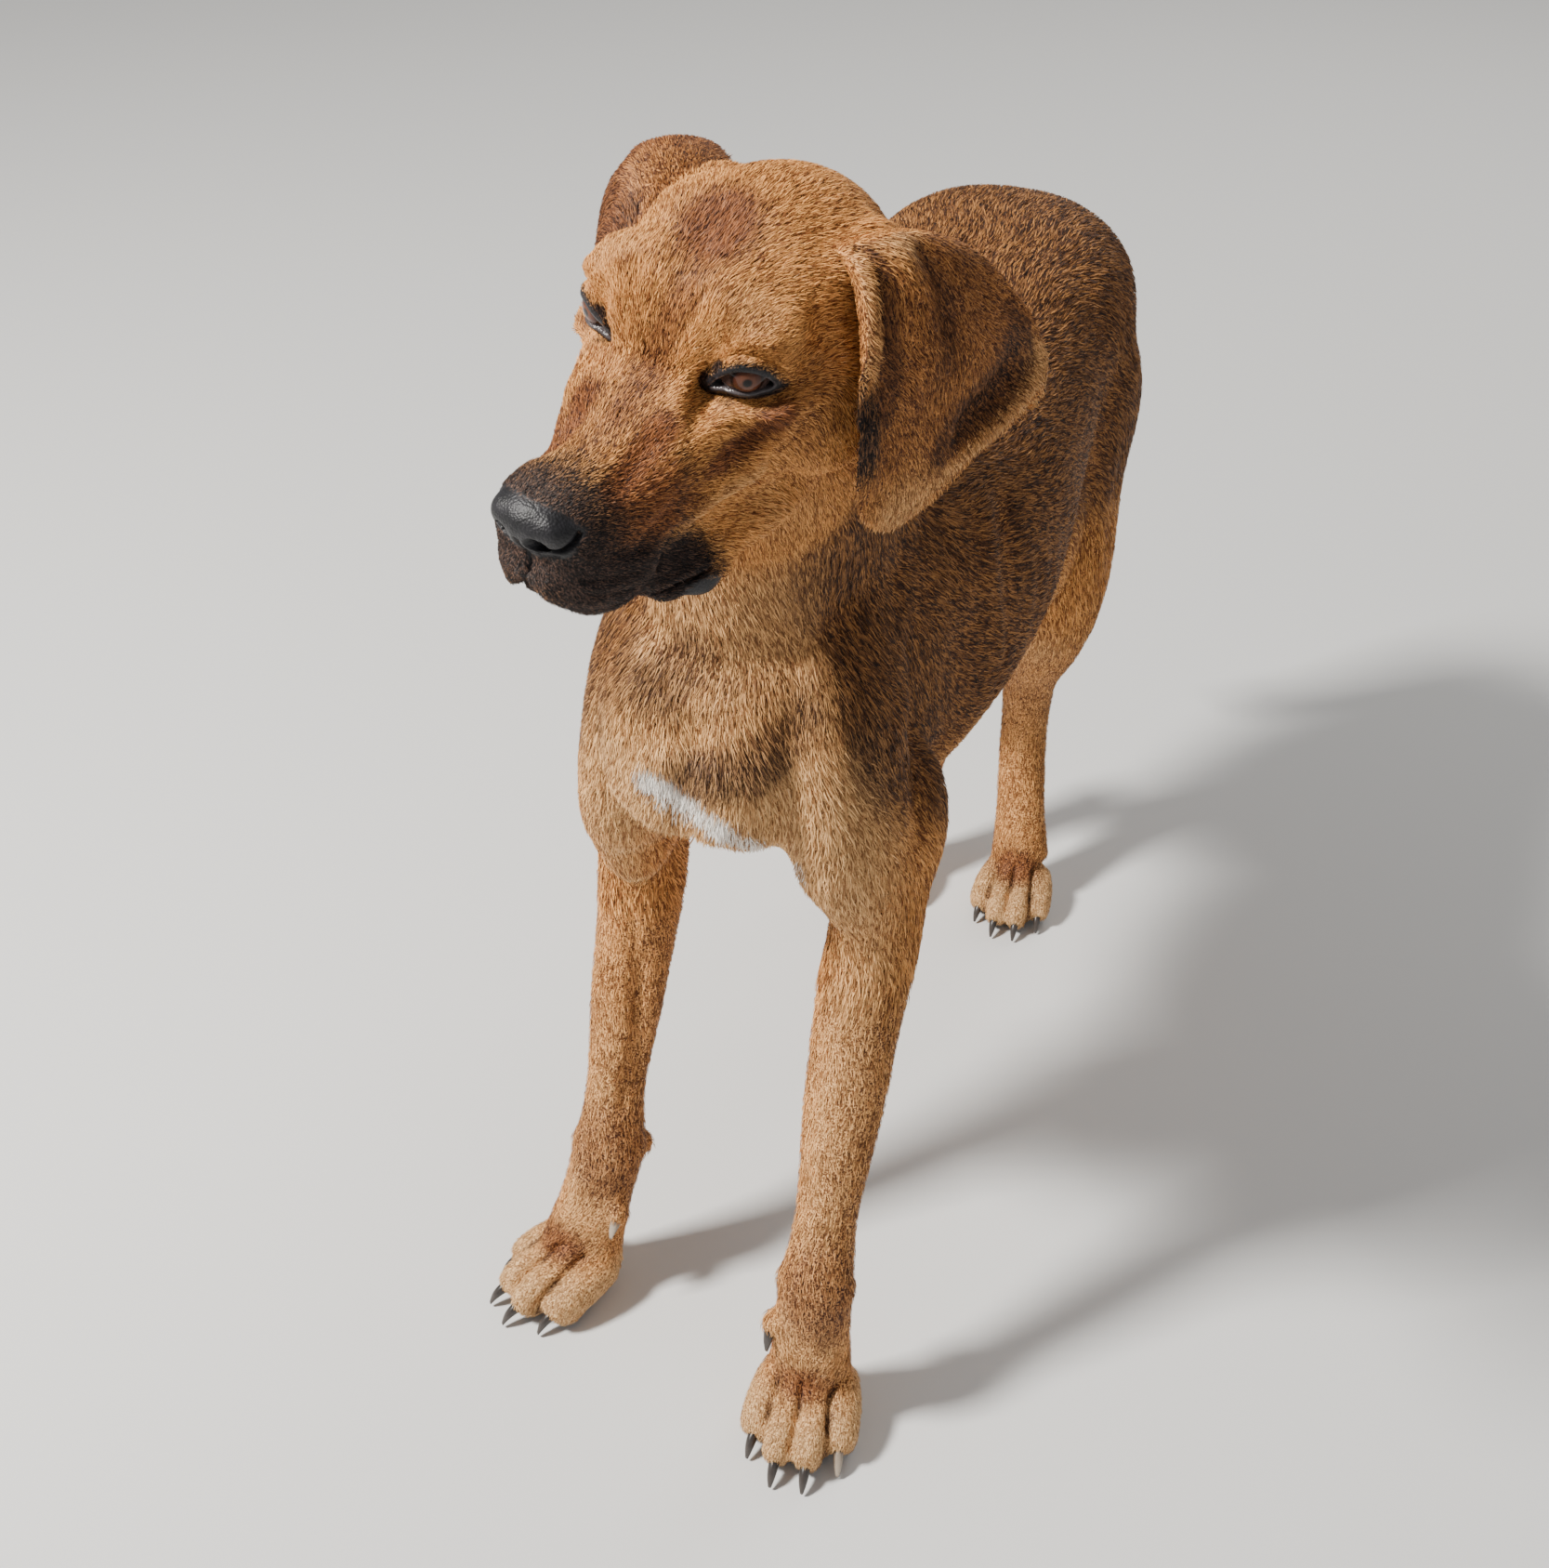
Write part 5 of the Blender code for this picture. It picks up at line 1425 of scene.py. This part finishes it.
# ------------------------------------------------------------------ coat
# Short hair that lies flat, laid on the skin in thin tapering tufts along the lie of
# the coat. Root places are drawn over the skin, finer and closer on the face.
def lie_guides():
    """Places and the way the hair lies there, in the dog's own frame, both sides."""
    one_side = (
        ((0.01, -0.05, 0.53), (0, 1, -0.05)), ((0.02, 0.05, 0.52), (0, 1, 0)),
        ((0.02, 0.15, 0.53), (0, 1, 0)), ((0.024, 0.25, 0.53), (0, 0.9, -0.4)),
        ((0.10, -0.03, 0.45), (0, 0.9, -0.35)), ((0.11, 0.05, 0.42), (0, 0.95, -0.3)),
        ((0.11, 0.12, 0.43), (0, 0.9, -0.4)), ((0.10, -0.02, 0.36), (0, 0.95, -0.3)),
        ((0.08, -0.12, 0.48), (0, 0.6, -0.8)), ((0.08, -0.17, 0.42), (0.1, 0.35, -0.93)),
        ((0.085, -0.15, 0.36), (0, 0.35, -0.93)), ((0.085, -0.15, 0.31), (0, 0.1, -0.99)),
        ((0.10, 0.22, 0.46), (0, 0.6, -0.8)), ((0.11, 0.21, 0.38), (0, 0.35, -0.93)),
        ((0.10, 0.18, 0.32), (0, 0.2, -0.98)), ((0.08, 0.29, 0.40), (0, 0.1, -1)),
        ((0.07, 0.27, 0.30), (0, -0.3, -0.95)),
        ((0.075, -0.15, 0.58), (0, 0.30, -0.95)), ((0.075, -0.15, 0.53), (0, 0.25, -0.96)),
        ((0.06, -0.20, 0.50), (0.2, 0.0, -0.98)), ((0.05, -0.23, 0.46), (0.3, 0, -0.95)),
        ((0.00, -0.10, 0.60), (0, 0.5, -0.86)), ((0.0, -0.06, 0.56), (0, 0.85, -0.5)),
        ((0.01, -0.22, 0.54), (0, -0.05, -1)), ((0.00, -0.25, 0.46), (0, 0, -1)),
        ((0.00, -0.25, 0.40), (0, 0.1, -1)), ((0.03, -0.24, 0.38), (0.15, 0.2, -0.95)),
        ((0.00, -0.22, 0.33), (0, 0.5, -0.85)), ((0.0, -0.16, 0.29), (0, 1, -0.1)),
        ((0.01, -0.05, 0.285), (0, 1, 0)), ((0.015, 0.08, 0.31), (0, 1, 0.1)),
        ((0.07, -0.175, 0.27), (0, -0.3, -0.95)), ((0.07, -0.20, 0.20), (0, -0.38, -0.92)),
        ((0.07, -0.23, 0.13), (0, -0.38, -0.92)), ((0.075, -0.245, 0.08), (0, -0.1, -1)),
        ((0.06, 0.215, 0.25), (0, 0.3, -0.95)), ((0.055, 0.245, 0.19), (0, 0.45, -0.9)),
        ((0.055, 0.265, 0.13), (0, 0, -1)), ((0.06, 0.25, 0.08), (0, -0.3, -0.95)),
        ((0.024, 0.31, 0.47), (0, 0.7, -0.7)), ((0.025, 0.34, 0.40), (0, 0.25, -0.97)),
        ((0.028, 0.36, 0.32), (0, 0.1, -1)), ((0.028, 0.39, 0.22), (0, 0.5, -0.85)),
    )
    places, ways = [], []
    for place, way in one_side:
        for sign in (1, -1):
            places.append((place[0] * sign, place[1], place[2]))
            ways.append((way[0] * sign, way[1], way[2]))
    places = np.array(places) + stand_offset
    for foot in feet:
        for place, way in (((0, -0.005, 0.045), (0, -0.9, -0.3)), ((0, -0.03, 0.034), (0, -0.9, -0.45)),
                           ((0.026, -0.01, 0.02), (0.1, -0.7, -0.7)),
                           ((-0.026, -0.01, 0.02), (-0.1, -0.7, -0.7)),
                           ((0, -0.045, 0.018), (0, -0.5, -0.85)), ((0, 0.026, 0.02), (0, 0.1, -1))):
            places = np.vstack((places, foot @ Vector(place)))
            ways.append(tuple(foot.to_3x3() @ Vector(way)))
    on_the_head = (
        ((0, -82, -15), (0, 1, 0.25)), ((0, -50, -12), (0, 1, 0.12)), ((0, -25, 2), (0, 0.8, 0.6)),
        ((0, -8, 20), (0, 0.7, 0.7)), ((0, 20, 37), (0, 0.95, 0.3)), ((0, 60, 45), (0, 1, -0.1)),
        ((0, 100, 28), (0, 0.7, -0.7)), ((14, -70, -22), (0.25, 0.95, 0.0)),
        ((18, -40, -18), (0.2, 0.95, 0.15)), ((25, -72, -42), (0.1, 0.95, -0.25)),
        ((29, -45, -45), (0.15, 0.9, -0.35)), ((24, -75, -62), (0.0, 0.85, -0.5)),
        ((10, -94, -52), (0.5, 0.3, -0.8)), ((14, -90, -62), (0.4, 0.5, -0.75)),
        ((8, -84, -86), (0, 0.8, -0.6)), ((10, -50, -96), (0, 1, -0.1)), ((12, -10, -102), (0, 1, -0.2)),
        ((32, -30, -58), (0.1, 0.85, -0.5)), ((42, -2, -42), (0.1, 0.8, -0.6)),
        ((47, 30, -50), (0, 0.55, -0.83)), ((40, 50, -90), (0, 0.35, -0.93)),
        ((30, 0, -85), (0.1, 0.8, -0.6)), ((20, -22, 4), (0.25, 0.45, 0.85)),
        ((30, -6, 15), (0.4, 0.6, 0.7)), ((42, 4, 10), (0.6, 0.75, 0.2)), ((46, 8, -4), (0.4, 0.9, -0.1)),
        ((30, -16, -13), (0.35, 0.75, -0.5)), ((40, -6, -18), (0.3, 0.85, -0.4)),
        ((20, -28, -10), (0.25, 0.9, -0.2)), ((20, 15, 33), (0.3, 0.8, 0.5)),
        ((36, 24, 26), (0.6, 0.7, 0.3)), ((48, 30, 8), (0.2, 0.95, -0.1)), ((50, 45, -15), (0, 0.9, -0.4)),
        ((30, 50, 40), (0.45, 0.85, 0.1)), ((45, 95, 0), (0.1, 0.6, -0.8)),
        ((48, 45, 42), (0.7, 0.3, 0.3)), ((58, 60, 40), (0.7, 0.3, -0.6)),
        ((64, 42, 14), (0.3, -0.05, -0.95)), ((72, 72, 12), (0.25, 0.3, -0.9)),
        ((76, 112, -8), (0.1, 0.65, -0.75)), ((82, 135, -44), (0, 0.5, -0.85)),
        ((74, 62, -30), (0, 0, -1)), ((66, 24, -20), (0, -0.25, -0.97)),
        ((67, 22, -55), (0, -0.05, -1)), ((74, 85, -62), (0, 0.15, -0.98)), ((68, 50, -90), (0, 0.1, -1)),
    )
    turn = head_array[:3, :3]
    for place, way in on_the_head:
        for sign in (1, -1):
            places = np.vstack((places, from_head(np.array((place[0] * sign, place[1], place[2])))))
            ways.append(tuple(turn @ np.array((way[0] * sign, way[1], way[2]))))
    ways = np.array(ways)
    return places, ways / np.linalg.norm(ways, axis=1)[:, None]


guide_places, guide_ways = lie_guides()


def lie_of_coat(spots, outwards):
    """The way the hair lies at each place, along the skin."""
    way = np.zeros_like(spots)
    for place, direction in zip(guide_places, guide_ways):
        gap = ((spots - place) ** 2).sum(axis=1)
        way += direction / ((gap + 0.0001) ** 2)[:, None]
    way /= np.linalg.norm(way, axis=1)[:, None]
    way -= outwards * (way * outwards).sum(axis=1)[:, None]
    return way / np.maximum(np.linalg.norm(way, axis=1), 1e-6)[:, None]


def corners_of(thing, kind):
    """Vertices or loops at the three corners of each triangle."""
    numbers = np.empty(len(thing.data.loop_triangles) * 3, int)
    thing.data.loop_triangles.foreach_get(kind, numbers)
    return numbers.reshape(-1, 3)


skin.data.calc_loop_triangles()
corners, corner_loops = corners_of(skin, "vertices"), corners_of(skin, "loops")
unwrap = np.empty(len(skin.data.loops) * 2)
skin.data.uv_layers["OFBake"].data.foreach_get("uv", unwrap)
unwrap = unwrap.reshape(-1, 2)
a, b, c = (skin_spots[corners[:, k]] for k in range(3))
areas = np.linalg.norm(np.cross(b - a, c - a), axis=1) / 2
middles = (a + b + c) / 3
bare_here = second_shares[corners, 2].mean(axis=1)


def coat_regions():
    """Which part of the coat each triangle of skin grows."""
    where = in_head(middles)
    on_head = headness(middles) > 0.35
    y = middles[:, 1] - stand_offset[1]
    z = middles[:, 2]
    region = np.full(len(middles), "flanks", dtype=object)
    region[(y < -0.035)] = "shoulders"
    region[(y > 0.130)] = "haunches"
    region[(z < 0.265)] = "legs"
    nape = (z - 0.455) * 0.87 + (-(y + 0.15)) * 0.45 > 0
    region[nape & (y < 0.0)] = "neck"
    region[on_head & (where[:, 1] < 130)] = "head"
    region[on_head & (where[:, 1] < 46) & (where[:, 2] > -60)] = "brow"
    region[on_head & (where[:, 1] < -22)] = "muzzle"
    region[on_ear[corners].mean(axis=1) > 0.5] = "ears"
    return region


# part of the coat: tufts, length, width and lift from the skin, in millimetres
coat_parts = {
    "muzzle": (72000, 3.2, 0.32, 0.27),
    "brow": (92000, 4.3, 0.36, 0.25),
    "head": (72000, 5.4, 0.42, 0.19),
    "ears": (88000, 4.4, 0.36, 0.19),
    "neck": (92000, 8.2, 0.56, 0.17),
    "shoulders": (86000, 8.4, 0.64, 0.15),
    "flanks": (76000, 8.6, 0.72, 0.14),
    "haunches": (78000, 8.6, 0.74, 0.14),
    "legs": (90000, 5.4, 0.50, 0.16),
}
root_sunk = 0.00035     # how deep a root is set in the skin
map_patch = 0.003       # a tuft's patch on the unwrap of the skin
coat_surface, tree, surface = new_material("hound coat", 0.58)
tree.links.new(hair_colour(tree, attribute(tree, "tone", "Fac"), attribute(tree, "along", "Fac")),
               surface.inputs["Base Color"])
surface.inputs["Specular IOR Level"].default_value = 0.18
rng = np.random.default_rng(7)
region_of = coat_regions()


def scattered(name, count):
    """Which triangles of skin bear a part's roots, and the place of each root in its own."""
    mine = np.flatnonzero((region_of == name) & (bare_here < 0.5))
    weight = areas[mine] * (1 - bare_here[mine])
    if name == "legs":
        weight = weight * (1 + 1.2 * (middles[mine, 2] < 0.06))
    if name == "brow":
        weight = weight * (1 + 1.2 * (from_nearest_eye(middles[mine]) < 24))
    picked = mine[np.searchsorted(np.cumsum(weight) / weight.sum(), rng.random(count))]
    u, v = rng.random(count), rng.random(count)
    flip = u + v > 1
    u[flip], v[flip] = 1 - u[flip], 1 - v[flip]
    return picked, np.column_stack((1 - u - v, u, v))


def from_nearest_eye(spots):
    """Distance to the middle of the nearer eye, in millimetres."""
    return np.minimum(*(np.linalg.norm(in_eye(spots, sign), axis=1) for sign in (1, -1)))


def laid_tufts(root, out):
    """The way each tuft lies, a little swirled, and the direction of its flat side."""
    count = len(root)
    way = lie_of_coat(root, out)
    swirl = 0.16 * np.sin(root[:, 1] * 90 + root[:, 2] * 70) + rng.normal(0, 0.17, count)
    across = np.cross(out, way)
    way = way * np.cos(swirl)[:, None] + across * np.sin(swirl)[:, None]
    across = np.cross(out, way)
    roll = rng.normal(0, 0.28, count)[:, None]
    return way, across * np.cos(roll) + out * np.sin(roll)


def tuft_sizes(name, root, out, length, width, lift):
    """Length, width and rise of each tuft, shorter and finer on nose, lids, ears and feet."""
    count = len(root)
    size = np.full(count, length / 1000)
    wide = np.full(count, width / 1000)
    if name in ("muzzle", "brow"):
        fine = ramp(-in_head(root)[:, 1], 60, 92)
        fine = np.maximum(fine, 1 - ramp(from_nearest_eye(root), 14, 26))
        size *= 1 - 0.45 * fine
        wide *= 1 - 0.25 * fine
    if name == "legs":
        foot = 1 - ramp(root[:, 2], 0.03, 0.09)
        size *= 1 - 0.35 * foot
        wide *= 1 - 0.30 * foot
    if name == "ears":
        inner = in_head(out + head_array[:3, 3])[:, 0] * np.sign(in_head(root)[:, 0]) < 0
        size *= 1 - 0.3 * inner
    size *= rng.uniform(0.72, 1.28, count)
    wide *= rng.uniform(0.75, 1.25, count)
    rise = lift * rng.uniform(0.55, 1.5, count)
    return size[:, None], wide[:, None], rise[:, None]


def blade_mesh(name, points):
    """A mesh of four-sided blades from their corners, root first."""
    count = len(points)
    mesh = bpy.data.meshes.new(name)
    mesh.vertices.add(count * 4)
    mesh.vertices.foreach_set("co", points.ravel())
    mesh.loops.add(count * 4)
    mesh.loops.foreach_set("vertex_index", np.arange(count * 4))
    mesh.polygons.add(count)
    mesh.polygons.foreach_set("loop_start", np.arange(count) * 4)
    mesh.polygons.foreach_set("use_smooth", np.ones(count, bool))
    mesh.update(calc_edges=True)
    return mesh


def grow(name, count, length, width, lift):
    """One part of the coat as a single mesh of tapering tufts."""
    picked, shares = scattered(name, count)

    def blend(values):
        return (values * shares[:, :, None]).sum(axis=1)

    root = blend(skin_spots[corners[picked]])
    out = blend(skin_normals[corners[picked]])
    out /= np.linalg.norm(out, axis=1)[:, None]
    first, second = blend(first_shares[corners[picked]]), blend(second_shares[corners[picked]])
    place = blend(unwrap[corner_loops[picked]])
    way, across = laid_tufts(root, out)
    size, wide, rise = tuft_sizes(name, root, out, length, width, lift)
    base = root - out * root_sunk
    middle = root + way * size * 0.42 + out * size * rise * 0.62
    tip = root + way * size * 0.98 + out * size * rise * 0.74
    points = np.stack((base, middle - across * wide * 0.5, tip, middle + across * wide * 0.5), axis=1)
    mesh = blade_mesh(name + "_coat", np.clip(points, box_low, box_high))
    coat = bpy.data.objects.new(name + "_coat", mesh)
    bpy.context.scene.collection.objects.link(coat)
    kite = np.array(((0.0, -0.5), (0.5, 0.0), (0.0, 0.5), (-0.5, 0.0))) * map_patch
    layer = mesh.uv_layers.new(name="OFBake")
    layer.data.foreach_set("uv", np.clip((place[:, None, :] + kite).reshape(-1, 2), 0, 1).ravel())
    tone = np.clip(rng.normal(0.5, 0.28, count), 0, 1)
    keep_value(coat, "tone", np.repeat(tone, 4))
    keep_value(coat, "along", np.tile((0.0, 0.45, 1.0, 0.45), count))
    keep_shares(coat, "dark cream mask", np.repeat(first, 4, axis=0))
    keep_shares(coat, "red white bare", np.repeat(second, 4, axis=0))
    mesh.materials.append(coat_surface)
    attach(coat, "root")


for name, settings in coat_parts.items():
    grow(name, *settings)


# ------------------------------------------------------------------ studio
# A pale paper floor, a soft light high on the left, a weak fill from the right, one
# light from behind, and the view from the front and above.
bpy.ops.mesh.primitive_plane_add(size=14)
floor = bpy.context.object
floor.name = floor.data.name = "studio_floor"
paper, tree, surface = new_material("pale paper", 0.85)
surface.inputs["Base Color"].default_value = (0.80, 0.80, 0.79, 1)
floor.data.materials.append(paper)


def soft_light(name, where, aim, size, power, colour):
    """A square area light turned to a point."""
    bpy.ops.object.light_add(type="AREA", location=where)
    lamp = bpy.context.object
    lamp.name = lamp.data.name = name
    lamp.data.size = size
    lamp.data.energy = power
    lamp.data.color = colour
    lamp.rotation_euler = (Vector(aim) - Vector(where)).to_track_quat("-Z", "Y").to_euler()


soft_light("key light", (-1.5, -1.25, 2.4), (0, -0.1, 0.35), 0.45, 165, (1.0, 0.97, 0.92))
soft_light("fill light", (2.3, -1.6, 1.4), (0, -0.1, 0.35), 2.2, 8, (0.96, 0.97, 1.0))
soft_light("back light", (0.6, 2.2, 2.1), (0, 0, 0.4), 1.6, 26, (1.0, 0.97, 0.92))
world = bpy.data.worlds.new("soft room")
world.use_nodes = True
world.node_tree.nodes["Background"].inputs["Color"].default_value = (0.86, 0.86, 0.87, 1)
world.node_tree.nodes["Background"].inputs["Strength"].default_value = 0.27
bpy.context.scene.world = world
bpy.ops.object.camera_add(location=(0.2962, -0.9724, 0.9886))
camera = bpy.context.object
camera.rotation_euler = Vector((-0.26684, 0.75688, -0.59660)).to_track_quat("-Z", "Y").to_euler()
camera.data.sensor_fit = "HORIZONTAL"
camera.data.sensor_width = 36
camera.data.lens = 48.34
camera.data.clip_start = 0.02
bpy.context.scene.camera = camera
